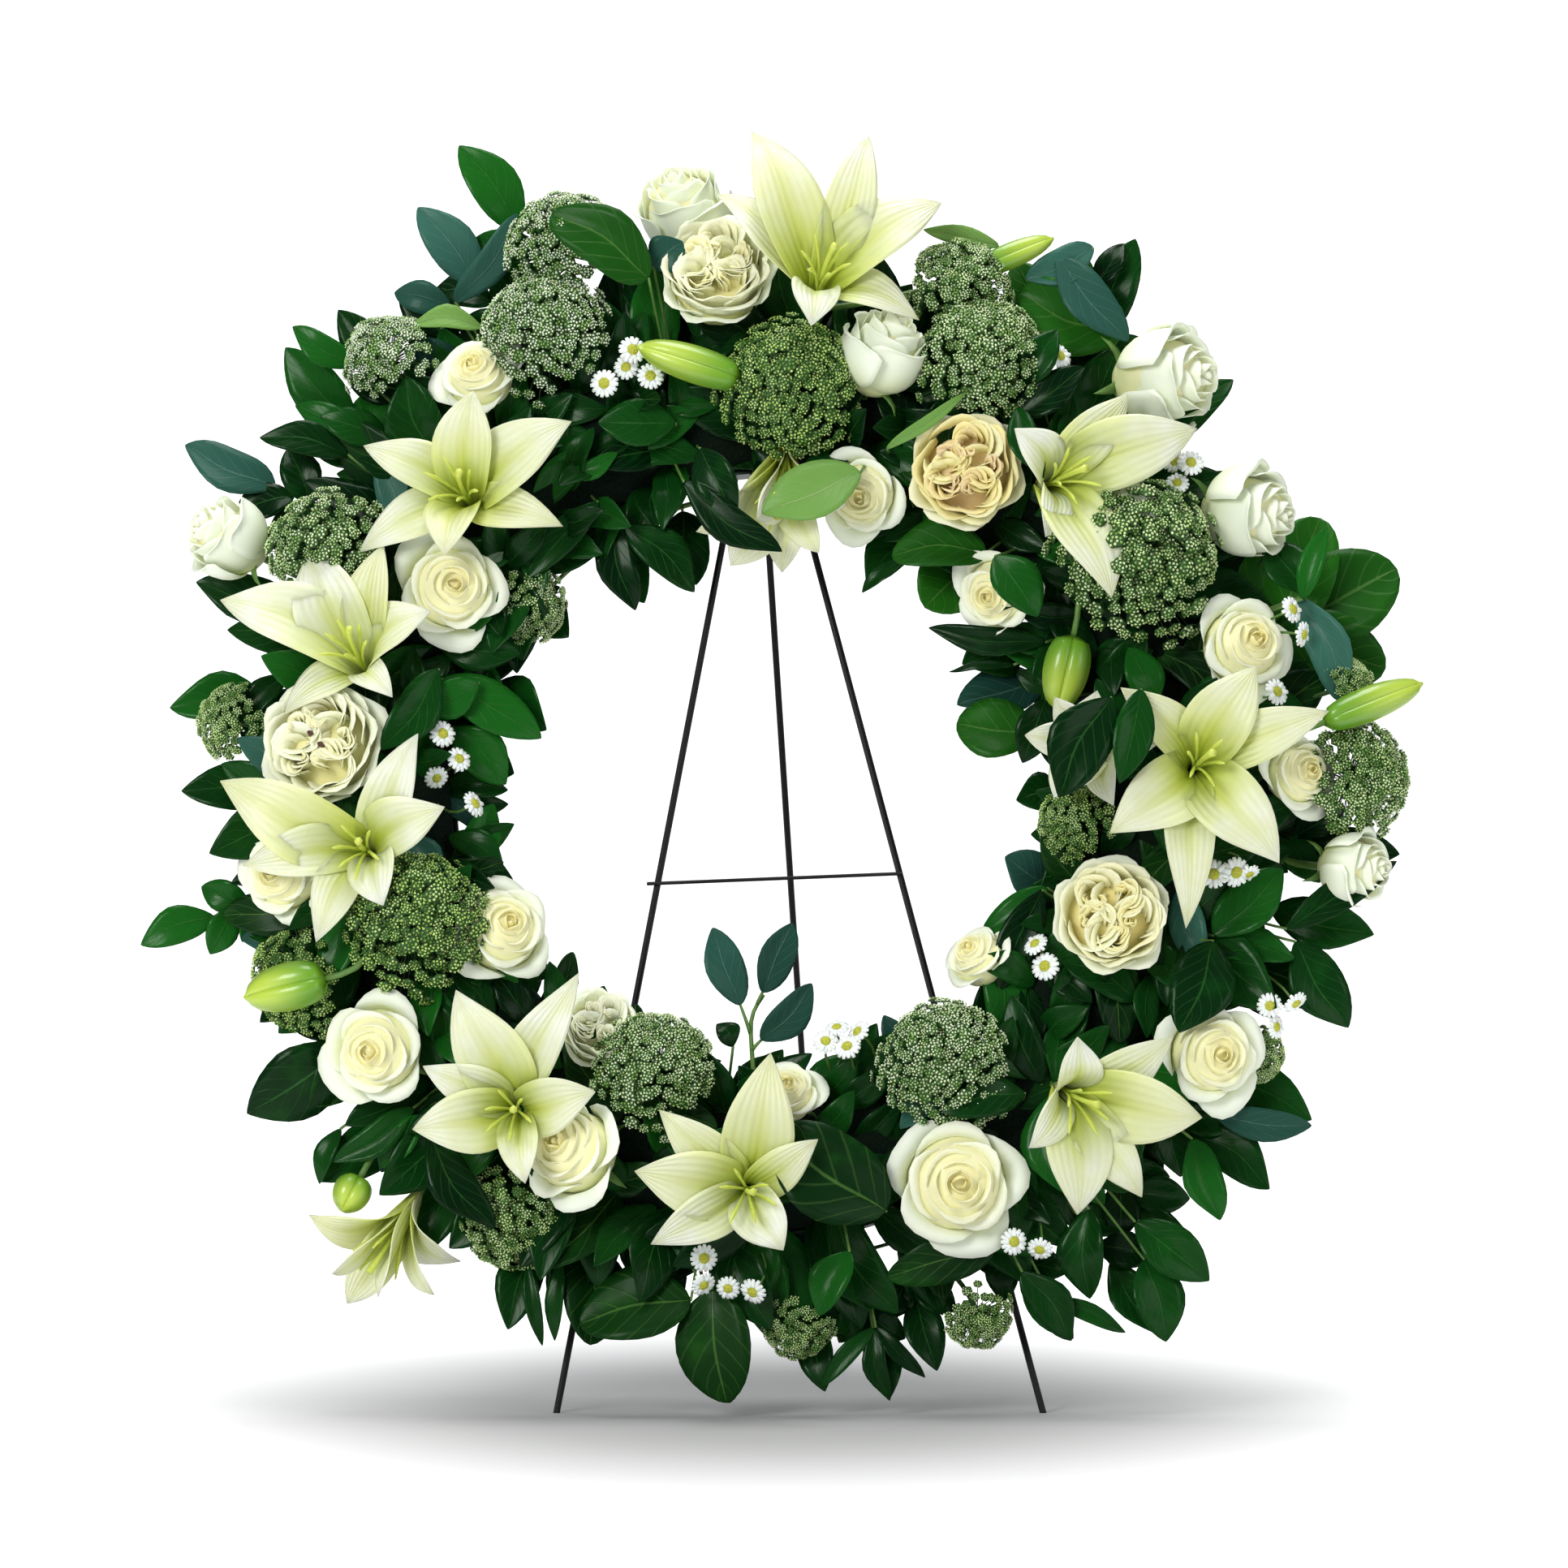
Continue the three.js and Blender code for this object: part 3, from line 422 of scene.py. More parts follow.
# painted shadow: a grey sheet that glows white, except in an ellipse round the easel's feet
paper, paper_shader = new_material("grey_studio_paper_with_painted_glow", 0.95, Emission_Color=colour("#FFFFFF"))
dress(paper, paper_shader, mix_colours(paper, grain(paper, 3), "#B4B4B4", "#B8B8B8"))
around_easel = add_node(paper, "ShaderNodeMapping", {
    "Vector": texture_place(paper, "Object"), "Scale": (GLOW_ACROSS, GLOW_ALONG, 1.0),
    "Location": (0, -GLOW_ALONG * (front_foot.y + GLOW_BEHIND_FEET), 0)})
from_easel = add_node(paper, "ShaderNodeVectorMath", {0: around_easel.outputs[0]}, operation="LENGTH")
# the painted glow, zero near the easel so the painted shadow pool stays grey
painted_shadow_glow = ease(paper, from_easel.outputs[1], GLOW_START, GLOW_FULL)
paper.node_tree.links.new(painted_shadow_glow, paper_shader.inputs["Emission Strength"])

SWEEP_HALF_WIDTH = 2.2
SWEEP_RADIUS = 1.5
SWEEP_FRONT = -1.6
SWEEP_BACK = 5.5
SWEEP_RUN = 13.0
sweep = bmesh.new()
bmesh.ops.create_grid(sweep, x_segments=4, y_segments=60, size=1)
for vertex in sweep.verts:
    run = (vertex.co.y + 1) / 2 * SWEEP_RUN + SWEEP_FRONT
    turn = min(max(run - SWEEP_BACK, 0) / SWEEP_RADIUS, math.pi / 2)
    wall = max(run - SWEEP_BACK - SWEEP_RADIUS * math.pi / 2, 0)
    vertex.co = Vector((
        vertex.co.x * SWEEP_HALF_WIDTH,
        min(run, SWEEP_BACK) + SWEEP_RADIUS * math.sin(turn),
        SWEEP_RADIUS * (1 - math.cos(turn)) + wall))
bmesh.ops.recalc_face_normals(sweep, faces=sweep.faces)
sweep_mesh = mesh_from(sweep, "studio_sweep")
sweep_mesh.materials.append(paper)
studio_sweep = add_object("studio_sweep", sweep_mesh)

# %% Air and lamps
world = bpy.data.worlds.new("studio_air")
world.use_nodes = True
air = world.node_tree.nodes["Background"].inputs
air["Color"].default_value = colour("#F2F8FF")
air["Strength"].default_value = 0.2
bpy.context.scene.world = world

# name, place, width and length in metres, power in watts
for name, place, width, length, power in [
    ("key_softbox", (-1.6, -3.0, 1.5), 1.2, 1.2, 68),
    ("side_softbox", (2.4, -2.2, 1.0), 1.4, 1.4, 14),
    ("top_softbox", (0.0, -0.1, 3.4), 1.3, 2.8, 92),
]:
    lamp = bpy.data.lights.new(name, "AREA")
    lamp.shape = "RECTANGLE"
    lamp.size = width
    lamp.size_y = length
    lamp.energy = power
    lamp_object = add_object(name, lamp)
    lamp_object.location = place
    lamp_object.rotation_euler = (ring_back_centre - Vector(place)).to_track_quat("-Z", "Y").to_euler()
print("lamps:", len(bpy.data.lights))

# %% [markdown]
# ## Finishes
# Petals, leaves and umbels are living tissue: thin, wet and a little see-through, so they get a waxy
# coat and some scattering below the surface. Each sheet carries its own UV map, where U runs across it
# and V from foot to tip, and a tint, one number for each petal or leaf, so no two are quite alike.


# %% What every petal and leaf pattern starts from
def tint_of(made):
    """The tint of a petal, leaf or floret."""
    return add_node(made, "ShaderNodeAttribute", attribute_name="tint").outputs["Fac"]


def sheet_inputs(made):
    """The way along a petal or leaf, the distance from its midrib, and its tint."""
    split = add_node(made, "ShaderNodeSeparateXYZ", {0: texture_place(made, "UV")})
    off_rib = calculate(made, "ABSOLUTE", calculate(made, "SUBTRACT", split.outputs[0], 0.5))
    return split.outputs[1], off_rib, tint_of(made)


# %% Lily tepals
# A tepal is waxy and ivory, with a green-yellow throat and midrib and fine veins from foot to tip. A wave
# texture has about 3.2 bands for one unit of its scale, so this scale draws some nine veins.
VEIN_SCALE = 17 / 6.3
VEIN_STRETCH = (1.0, 0.06, 1.0)
lily_wax, shader = new_material(
    "lily_tepal_wax", 0.45, Subsurface_Weight=0.4, Subsurface_Scale=0.006,
    Subsurface_Radius=(1.0, 0.95, 0.5), Coat_Weight=0.05)
along, off_rib, tint = sheet_inputs(lily_wax)
stretched = add_node(lily_wax, "ShaderNodeMapping", {
    "Vector": texture_place(lily_wax, "UV"), "Scale": VEIN_STRETCH})
veins = add_node(lily_wax, "ShaderNodeTexWave", {
    "Vector": stretched.outputs[0], "Scale": VEIN_SCALE, "Distortion": 1.2, "Detail": 1.0},
    bands_direction="X").outputs[1]
ivory = mix_colours(lily_wax, ease(lily_wax, grain(lily_wax, 55, 3), 0.35, 0.7), "#ECF0C8", "#F6F9E2")
warmed = mix_colours(lily_wax, tint, ivory, "#E2E69C")
veined = mix_colours(lily_wax, ease(lily_wax, veins, 0.1, 0.9, 0.12, 0.0), warmed, "#CBD28C")
rib_zone = calculate(
    lily_wax, "MULTIPLY",
    ease(lily_wax, off_rib, 0.0, 0.22, 1.0, 0.0), ease(lily_wax, along, 0.3, 0.95, 0.9, 0.2))
ribbed = mix_colours(lily_wax, rib_zone, veined, "#CED674")
throat_zone = calculate(
    lily_wax, "MULTIPLY",
    ease(lily_wax, along, 0.22, 0.82, 0.95, 0.0), ease(lily_wax, tint, 0.0, 0.3, 0.5, 1.0))
dress(lily_wax, shader, mix_colours(lily_wax, throat_zone, ribbed, "#AEBE2E"), veins, 0.0003)

# %% Stamens, buds and green stalks
filament = mottled("pale_filament", 0.45, (grain, 240), "#D9E070", "#B2C83C",
                   Subsurface_Weight=0.2, Subsurface_Scale=0.002)
stalk = mottled("green_stalk", 0.5, (grain, 120, 3), "#2E5A22", "#6F9440", 0.0004)

bud_skin, shader = new_material("lily_bud_skin", 0.35, Coat_Weight=0.2, Subsurface_Weight=0.1,
                                Subsurface_Scale=0.003)
along, off_rib, _ = sheet_inputs(bud_skin)
bud_green = mix_colours(bud_skin, ease(bud_skin, along, 0.1, 0.75), "#6C9F22", "#B6CE48")
bud_rib = ease(bud_skin, off_rib, 0.0, 0.35, 0.45, 0.0)
dress(bud_skin, shader, mix_colours(bud_skin, bud_rib, bud_green, "#3F7A1C"))

# %% Rose petals
# A rose petal is velvety, cream to ivory, greener at its foot and warmer towards the heart. A tint above
# 1.4 is brown, for the flecks in one heart.
rose_velvet, shader = new_material(
    "rose_petal_velvet", 0.6, Subsurface_Weight=0.15, Subsurface_Scale=0.004,
    Subsurface_Radius=(0.9, 1.0, 0.6), Sheen_Weight=0.04, Sheen_Roughness=0.4)
along, _, tint = sheet_inputs(rose_velvet)
petal = mix_colours(rose_velvet, grain(rose_velvet, 60), "#EFF8DE", "#F9FEEC")
for zone, zone_colour in [
    (ease(rose_velvet, tint, 0.0, 0.9), "#F0E496"),
    (ease(rose_velvet, along, 0.1, 0.8, 0.7, 0.0), "#E2F0A4"),
    (ease(rose_velvet, tint, 0.65, 1.15), "#E6CDA0"),
    (ease(rose_velvet, tint, 1.4, 2.0), "#4A2010"),
]:
    petal = mix_colours(rose_velvet, zone, petal, zone_colour)
dress(rose_velvet, shader, petal)

# %% Ammi florets and feverfew
floret, shader = new_material("ammi_floret", 0.7, Subsurface_Weight=0.1, Subsurface_Scale=0.002)
floret_white = mix_colours(floret, tint_of(floret), "#F4FDE0", "#C4E47C")
floret_green = mix_colours(floret, tint_of(floret), "#8CB85C", "#4E8024")
floret_zone = ease(floret, grain(floret, 160), 0.35, 0.6)
dress(floret, shader, mix_colours(floret, floret_zone, floret_green, floret_white))

umbel_stalk = mottled("ammi_ray_green", 0.6, (grain, 90), "#153A0C", "#386420")
daisy_white = mottled("feverfew_ray_white", 0.6, (grain, 200), "#EFF1E8", "#FFFFFF",
                      Subsurface_Weight=0.15, Subsurface_Scale=0.002)
daisy_eye = mottled("feverfew_eye_yellow", 0.8, (pores, 900), "#D8CF4A", "#8FA32C", 0.0006)


# %% Leaves
# Four leaves: glossy dark ruscus, broad salal, a blue-green one with a waxy bloom, and a pale young one.
def leaf_finish(name, dark, light, rib, roughness, coat, side_veins):
    """A leaf with a pale midrib and side veins that run forward to the edge."""
    made, shader = new_material(name, roughness, Coat_Weight=coat, Coat_Roughness=0.15,
                                Specular_IOR_Level=0.12, Specular_Tint=colour("#D2F0CC"))
    along, off_rib, tint = sheet_inputs(made)
    patches = ease(made, grain(made, 38, 4), 0.5, 0.8, 0.0, 0.22)
    body = mix_colours(made, patches, mix_colours(made, tint, dark, light), light)
    forward = calculate(made, "MULTIPLY_ADD", off_rib, -0.55, along)
    crest = calculate(made, "COSINE", calculate(made, "MULTIPLY", forward, side_veins * math.tau))
    rib_line = ease(made, off_rib, 0.006, 0.03, 1.0, 0.0)
    lines = calculate(made, "MULTIPLY_ADD", ease(made, crest, 0.86, 1.0), 0.3, rib_line, use_clamp=True)
    faded = calculate(made, "MULTIPLY", lines, 0.28)
    dress(made, shader, mix_colours(made, faded, body, rib), lines, 0.0006)
    return made


ruscus = leaf_finish("ruscus_leaf_gloss", "#031C09", "#1B631B", "#3C7E34", 0.25, 0.06, 9)
salal = leaf_finish("salal_leaf_leather", "#04200A", "#2C781A", "#6FA24C", 0.36, 0.04, 7)
blue_leaf = leaf_finish("blue_green_leaf_bloom", "#0A2E25", "#38685A", "#709C8C", 0.4, 0.06, 8)
pale_leaf = leaf_finish("young_leaf", "#4B7C2C", "#7BA454", "#B4CE8C", 0.45, 0.06, 10)
print("finishes:", len(bpy.data.materials))

# %% [markdown]
# ## Sheets and rods
# Every petal and leaf is a flat grid bent by a rule and then given a wall, and every stalk is a cylinder
# cut into rings that are moved along a line. Both start from an operator's own shape, so the faces and
# the UV map come with it.


# %% A sheet bent by a rule
def add_sheet(bm, place, across, along, thick, material=0, tint=0.5):
    """Adds a thin closed sheet: place(s, t) gives its points, s from -1 to 1 across, t from 0 to 1 along."""
    corners = bmesh.ops.create_grid(bm, x_segments=across, y_segments=along, size=1, calc_uvs=True)["verts"]
    layer = bm.verts.layers.float["tint"]
    faces = list(dict.fromkeys(face for corner in corners for face in corner.link_faces))
    for corner in corners:
        corner.co = place(corner.co.x, (corner.co.y + 1) / 2)
        corner[layer] = tint
    for face in faces:
        face.material_index = material
    bmesh.ops.recalc_face_normals(bm, faces=faces)
    bmesh.ops.solidify(bm, geom=faces, thickness=thick)


def new_build():
    """An empty mesh in the making, with its UV map and tint ready."""
    bm = bmesh.new()
    bm.loops.layers.uv.new("UVMap")
    bm.verts.layers.float.new("tint")
    return bm


# %% A rod along a line
def add_rod(bm, points, radii, sides, material):
    """Adds a round closed rod through a row of points, with a radius at each."""
    last = len(points) - 1
    rod = new_build()
    bmesh.ops.create_cone(rod, cap_ends=True, segments=sides, radius1=1, radius2=1, depth=1, calc_uvs=True)
    uprights = [edge for edge in rod.edges if abs(edge.verts[0].co.z - edge.verts[1].co.z) > 0.5]
    bmesh.ops.subdivide_edges(rod, edges=uprights, cuts=last - 1)
    runs = [points[min(i + 1, last)] - points[max(i - 1, 0)] for i in range(last + 1)]
    turns = [run.to_track_quat("Z", "Y") for run in runs]
    for corner in rod.verts:
        i = round((corner.co.z + 0.5) * last)
        corner.co = points[i] + turns[i] @ Vector((corner.co.x, corner.co.y, 0)) * radii[i]
    for face in rod.faces:
        face.material_index = material
    mesh = mesh_from(rod, "rod")
    bm.from_mesh(mesh)
    bpy.data.meshes.remove(mesh)


def along_line(start, start_handle, end_handle, end, steps):
    """Points on a smooth line between two places."""
    return interpolate_bezier(start, start_handle, end_handle, end, steps + 1)


# %% Stems into the foam
STEM_SIDES = 6
# how far a stem keeps to its head's own line, as a share of the way to the foam
STEM_STRAIGHT = 0.45


def in_foam(place):
    """Where a stem ends in the foam below a place."""
    reach = math.hypot(place.x, place.y)
    end = min(max(reach, FOAM_NEAREST), FOAM_FURTHEST)
    return Vector((place.x * end / reach, place.y * end / reach, STEM_DEPTH))


def add_stem(bm, foot, direction, radius, material, root=None):
    """A stem from a head's foot, back along its look and into the foam."""
    root = in_foam(foot) if root is None else root
    back = foot - direction * (foot - root).length * STEM_STRAIGHT
    points = along_line(foot, foot.lerp(back, 0.6), back, root, 6)
    add_rod(bm, points, [radius] * len(points), STEM_SIDES, material)


def add_joined_stems(bm, feet, radius, material):
    """Stems from several heads, each a foot and a look, to one place in the foam below them."""
    root = in_foam(sum((foot for foot, _ in feet), Vector()) / len(feet))
    for foot, direction in feet:
        add_stem(bm, foot, direction, radius, material, root)


# %% A finished piece
def finish_piece(bm, name, materials, nodes=()):
    """Turns a build into a smooth piece in its real place that rides with the display."""
    bmesh.ops.transform(bm, matrix=RING_TO_FLOOR, verts=bm.verts)
    bmesh.ops.recalc_face_normals(bm, faces=bm.faces)
    mesh = mesh_from(bm, name)
    for material in materials:
        mesh.materials.append(material)
    mesh.polygons.foreach_set("use_smooth", [True] * len(mesh.polygons))
    piece = add_object(name, mesh)
    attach(piece, "display")
    if nodes:
        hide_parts(*nodes)


# %% [markdown]
# ## Lilies
# Six tepals leave one trumpet: three broad inner ones and three narrower outer ones behind them. Each is
# a sheet along a line that runs up the trumpet, over its lip and out to a tip that curls back. Near the
# trumpet its section is a deep gutter, further out it flattens, and its edges wave.

# %% One tepal
TEPAL_ACROSS = 10
TEPAL_ALONG = 18
TEPAL_THICK = 0.7
OUTER_SET_BACK = 2.2
# a tepal seen this short points at the viewer, and keeps its pale tint
FORESHORTENED = 50
LILY_FINISHES = [lily_wax, filament, stalk, bud_skin]
WAX, FILAMENT, LILY_STALK, BUD_SKIN = range(4)


def add_tepal(bm, foot, throat, tip, direction, width, inner, phase, tint):
    """A tepal from the trumpet's foot, over the throat and out to its tip."""
    spread = tip - throat
    spread = (spread - direction * spread.dot(direction)).normalized()
    length = (tip - throat).length
    rear = 0 if inner else -OUTER_SET_BACK
    line = along_line(
        foot + spread * 3,
        foot + direction * (TRUMPET * 1.05 + rear) + spread * (5 if inner else 6),
        throat.lerp(tip, 0.5) + direction * (length * 0.34 + rear),
        tip, TEPAL_ALONG)
    side = direction.cross(spread).normalized()
    bend = 0.05 * length * math.sin(3 * phase)

    def place(s, t):
        row = round(t * TEPAL_ALONG)
        tangent = (line[min(row + 1, TEPAL_ALONG)] - line[max(row - 1, 0)]).normalized()
        front = tangent.cross(side)
        half = width / 2 * (0.22 * (1 - t) ** 2 + math.sin(math.pi * min(t ** 1.2, 1)) ** 0.95)
        gutter = 0.75 * (1 - t) ** 2 + 0.12 - 0.3 * t ** 3
        groove = -0.09 * math.exp(-(s / 0.16) ** 2) * (1 - t * 0.6)
        wave = 0.1 * math.sin(9 * t + phase + (1.3 if s > 0 else 0)) * s * s * t
        sideways = s * half + bend * math.sin(math.pi * t) ** 2
        return line[row] + side * sideways + front * (half * (gutter * s * s + groove + wave))

    add_sheet(bm, place, TEPAL_ACROSS, TEPAL_ALONG, TEPAL_THICK, WAX, tint)


# %% One lily
FILAMENTS = 6
FILAMENT_RADII = [1.3, 1.2, 1.1, 1.0, 1.0, 1.1, 1.4, 0.6]
STYLE_RADII = [2.0, 1.9, 1.7, 1.6, 1.6, 1.7, 2.0, 2.8]
LILY_STEM = 3.2


def add_lily(bm, row, dice):
    """A whole lily: its tepals, its filaments and style, which hang a little, and its stem."""
    hour, reach, lift, outward, clockwise, tepals = row
    throat = clock(hour, reach, lift)
    direction = facing(hour, outward, clockwise)
    foot = throat - direction * TRUMPET
    for i, (bearing, length, rise) in enumerate(tepals):
        tip = throat + clock(bearing / 30, length, rise)
        width = TEPAL_WIDTHS[i % 2] * min(1, 0.38 + length / 130)
        add_tepal(bm, foot, throat, tip, direction, width, i % 2 == 0,
                  dice.uniform(0, 6), 0.0 if length < FORESHORTENED else dice.uniform(0.1, 0.6))
    across = direction.orthogonal().normalized()
    droop = Vector((0, -4, 0))
    for i in range(FILAMENTS):
        lean = Matrix.Rotation(math.tau * (i + dice.uniform(-0.2, 0.2)) / FILAMENTS, 3, direction) @ across
        end = throat + direction * dice.uniform(26, 34) + lean * dice.uniform(13, 21) + droop
        points = along_line(foot + direction * 12, throat - direction * 2 + lean * 2,
                            throat + direction * 14 + lean * 8, end, 7)
        add_rod(bm, points, FILAMENT_RADII, 5, FILAMENT)
    style = along_line(foot + direction * 10, throat, throat + direction * 20,
                       throat + direction * 34 + across * 7 + droop, 7)
    add_rod(bm, style, STYLE_RADII, 6, FILAMENT)
    add_stem(bm, foot + direction * 2, direction, LILY_STEM, LILY_STALK)


# %% [markdown]
# A lily bud is three long lobes pressed together, with a furrow between them, so its section is round
# with three shallow dents.

# %% One bud
BUD_THICK = 0.8
BUD_STEM = 2.2


def add_bud(bm, row, stem_root=None):
    """A bud from foot to tip; its stem joins its lily's, or goes into the foam."""
    _, foot_hour, foot_reach, foot_lift, tip_hour, tip_reach, tip_lift, width = row
    foot = clock(foot_hour, foot_reach, foot_lift)
    axis = clock(tip_hour, tip_reach, tip_lift) - foot
    turn = axis.to_track_quat("Z", "Y")
    for lobe in range(3):
        angle = math.tau * lobe / 3 + 0.5

        def place(s, t):
            swell = 0.22 + 0.78 * math.sin(math.pi * min(t ** 0.85, 1)) ** 0.4
            swell = width / 2 * swell * (1 - 0.15 * t ** 3) * math.sqrt(1 - t ** 12)
            around = angle + s * 1.12
            furrow = 1 - 0.22 * s * s - 0.05 * math.exp(-(s / 0.15) ** 2)
            return foot + turn @ Vector((
                swell * furrow * math.cos(around), swell * furrow * math.sin(around), axis.length * t))

        add_sheet(bm, place, 8, 14, BUD_THICK, BUD_SKIN)
    add_stem(bm, foot + axis * 0.04, axis.normalized(), BUD_STEM, LILY_STALK, stem_root)


# %% Make the lilies
dice = random.Random(11)
for number, row in enumerate(LILIES):
    bloom = new_build()
    add_lily(bloom, row, dice)
    hour, reach, lift, outward, clockwise, _ = row
    join = clock(hour, reach, lift) - facing(hour, outward, clockwise) * (TRUMPET + 4)
    for bud_row in BUDS:
        if bud_row[0] == number:
            add_bud(bloom, bud_row, join)
    node = f"lily_{number + 1:02d}"
    finish_piece(bloom, node + "_bloom", LILY_FINISHES, [node])
spare_buds = new_build()
for bud_row in BUDS:
    if bud_row[0] is None:
        add_bud(spare_buds, bud_row)
finish_piece(spare_buds, "lily_side_buds", LILY_FINISHES)
print("lilies made:", len(LILIES))

# %% [markdown]
# ## Roses
# A rose is a spiral: each petal starts a golden angle after the one before. The heart's petals are tall,
# narrow and rolled shut, and each later one is wider, lower and rolled further back at its rim. A garden
# rose has a flat cup instead, packed with short crimped petals inside a ring of plain outer ones.

# %% One rose petal
PETAL_THICK = 0.5
ROSE_FINISHES = [rose_velvet, stalk]
VELVET, ROSE_STALK = range(2)


def add_rose_petal(bm, matrix, shape, turn, span, ruffle, dice, tint, cells):
    """A petal bent round the head's axis. Its shape is the rim's distance from the axis and height, the
    belly's distance, the rim's roll, and how much closer one side lies than the other."""
    rim, top, belly, roll, hug = shape
    across, along = cells
    phase = dice.uniform(0, 6)
    profile = ((0.15 * belly, 0), (belly, -0.05 * top), (0.9 * belly + 0.1 * rim, 0.8 * top), (rim, top))

    def place(s, t):
        reach = t * (1 - 0.15 * s * s - 0.09 * s ** 4)
        rest = 1 - reach
        weights = (rest ** 3, 3 * reach * rest ** 2, 3 * reach * reach * rest, reach ** 3)
        out = sum(weight * point[0] for weight, point in zip(weights, profile))
        rise = sum(weight * point[1] for weight, point in zip(weights, profile))
        curl = max(0.0, (reach - 0.74) / 0.26) ** 2
        out = out * (1 + hug * s) + roll * curl + ruffle * math.sin(5 * s + phase) * reach ** 3
        rise = rise - 0.7 * roll * curl + 0.5 * ruffle * math.sin(7 * s + 2 * phase) * reach ** 3
        angle = turn + s * span / 2 * (0.3 + 0.7 * math.sin(min(1.0, t / 0.62) * math.pi / 2))
        return matrix @ Vector((out * math.cos(angle), out * math.sin(angle), rise))

    add_sheet(bm, place, across, along, PETAL_THICK, VELVET, tint)


# %% Whole roses
ROSE_PETALS = 19
QUARTERS = 5
QUARTER_PETALS = 9
ROSETTE_GUARDS = 15
# how far from the axis each fold of a garden rose is, and where its flecks are, as shares of its radius
FOLD_ASIDE = 0.38
FLECK_ASIDE = 0.09
FLECK_RADIUS = 0.075
FLECK_TINT = 2.0


def add_heart(bm, matrix, radius, top, tint):
    """The mass of small petals inside a head, which closes the gaps between the large ones."""
    made = bmesh.ops.create_uvsphere(bm, u_segments=20, v_segments=12, radius=1, calc_uvs=True, matrix=(
        matrix @ Matrix.Translation((0, 0, 0.42 * top)) @ Matrix.Diagonal((radius, radius, 0.58 * top, 1))))
    layer = bm.verts.layers.float["tint"]
    for corner in made["verts"]:
        corner[layer] = tint


def add_spiral_rose(bm, matrix, radius, height, start, openness, dice):
    """A florist's rose: a closed heart whose petals lean in, inside wider, lower ones that lean out."""
    add_heart(bm, matrix, radius * (0.6 + 0.1 * openness), height * 0.84, 0.5)
    for i in range(ROSE_PETALS):
        stage = i / (ROSE_PETALS - 1)
        rim = radius * (0.03 + (0.62 + 0.31 * openness) * stage ** 1.3) * dice.uniform(0.96, 1.04)
        top = height * (0.98 - (0.24 + 0.22 * openness) * stage ** 2) * dice.uniform(0.985, 1.015)
        fullness = 0.16 * (1 - stage) ** 1.3 + stage * (1 - openness) * dice.uniform(0.28, 0.4)
        belly = rim * (1.0 - 0.24 * openness * stage) + radius * fullness
        shape = (rim, top, belly, radius * (0.02 + 0.2 * stage ** 1.4), 0.1 - 0.05 * stage)
        add_rose_petal(bm, matrix, shape, start + i * GOLDEN_TURN, 3.2 - 1.4 * stage,
                       radius * 0.04 * stage * dice.uniform(0.4, 1.5), dice,
                       0.7 * openness * (1 - stage) ** 1.1 + dice.uniform(0, 0.08), (10, 10))


def add_rosette(bm, matrix, radius, height, start, warmth, dice):
    """A garden rose: a cup of plain petals round five tight folds of small ones."""
    add_heart(bm, matrix, radius * 0.8, height * 0.6, warmth + 0.2)
    if warmth == FLECKED_WARMTH:
        for aside in (-FLECK_ASIDE, FLECK_ASIDE):
            fleck = matrix @ Matrix.Translation((radius * aside, radius * aside, 0))
            add_heart(bm, fleck, radius * FLECK_RADIUS, height * 0.97, FLECK_TINT)
    for i in range(QUARTERS * QUARTER_PETALS):
        turn = start + math.tau * (i % QUARTERS) / QUARTERS
        stage = (i // QUARTERS + 1) / QUARTER_PETALS
        aside = FOLD_ASIDE * radius
        fold = matrix @ Matrix.Translation((aside * math.cos(turn), aside * math.sin(turn), 0))
        rim = radius * (0.03 + 0.43 * stage) * dice.uniform(0.9, 1.1)
        shape = (rim, height * (0.93 - 0.07 * stage) * dice.uniform(0.96, 1.04), rim * 0.68, radius * 0.06,
                 dice.uniform(-0.15, 0.15))
        add_rose_petal(bm, fold, shape, turn + i * GOLDEN_TURN, dice.uniform(2.4, 3.2),
                       radius * 0.03 * dice.uniform(0.5, 1.5), dice,
                       warmth * (1.1 - 0.6 * stage) + dice.uniform(0, 0.15), (10, 7))
    for i in range(ROSETTE_GUARDS):
        stage = i / (ROSETTE_GUARDS - 1)
        rim = radius * (0.74 + 0.25 * stage)
        shape = (rim, height * (0.88 - 0.36 * stage ** 1.5), rim * (1.0 - 0.16 * stage), radius * 0.1, 0.05)
        add_rose_petal(bm, matrix, shape, start + 2 + i * GOLDEN_TURN, 1.6,
                       radius * 0.06 * dice.uniform(0.5, 1.5),
                       dice, warmth * (0.85 - 0.55 * stage), (10, 9))


def add_rose(bm, head, warmth, half_shut, dice):
    """A whole rose; warmth is how deep a garden rose's heart is coloured, or None for a florist's rose."""
    hour, reach, lift, outward, clockwise, width = head
    direction = facing(hour, outward, clockwise)
    foot = clock(hour, reach, lift) - direction * width * ROSE_DEPTH / 2
    matrix = standing(direction, foot)
    start = dice.uniform(0, math.tau)
    if warmth is not None:
        add_rosette(bm, matrix, width / 2, width * (ROSE_DEPTH + 0.05), start, warmth, dice)
    elif half_shut:
        add_spiral_rose(bm, matrix, width / 2, width * (ROSE_DEPTH + 0.18), start, 0.25, dice)
    else:
        add_spiral_rose(bm, matrix, width / 2, width * (ROSE_DEPTH + 0.05), start, 1, dice)
    return foot, direction


# %% Sepals
SEPALS = 5
SEPAL_ALONG = 5


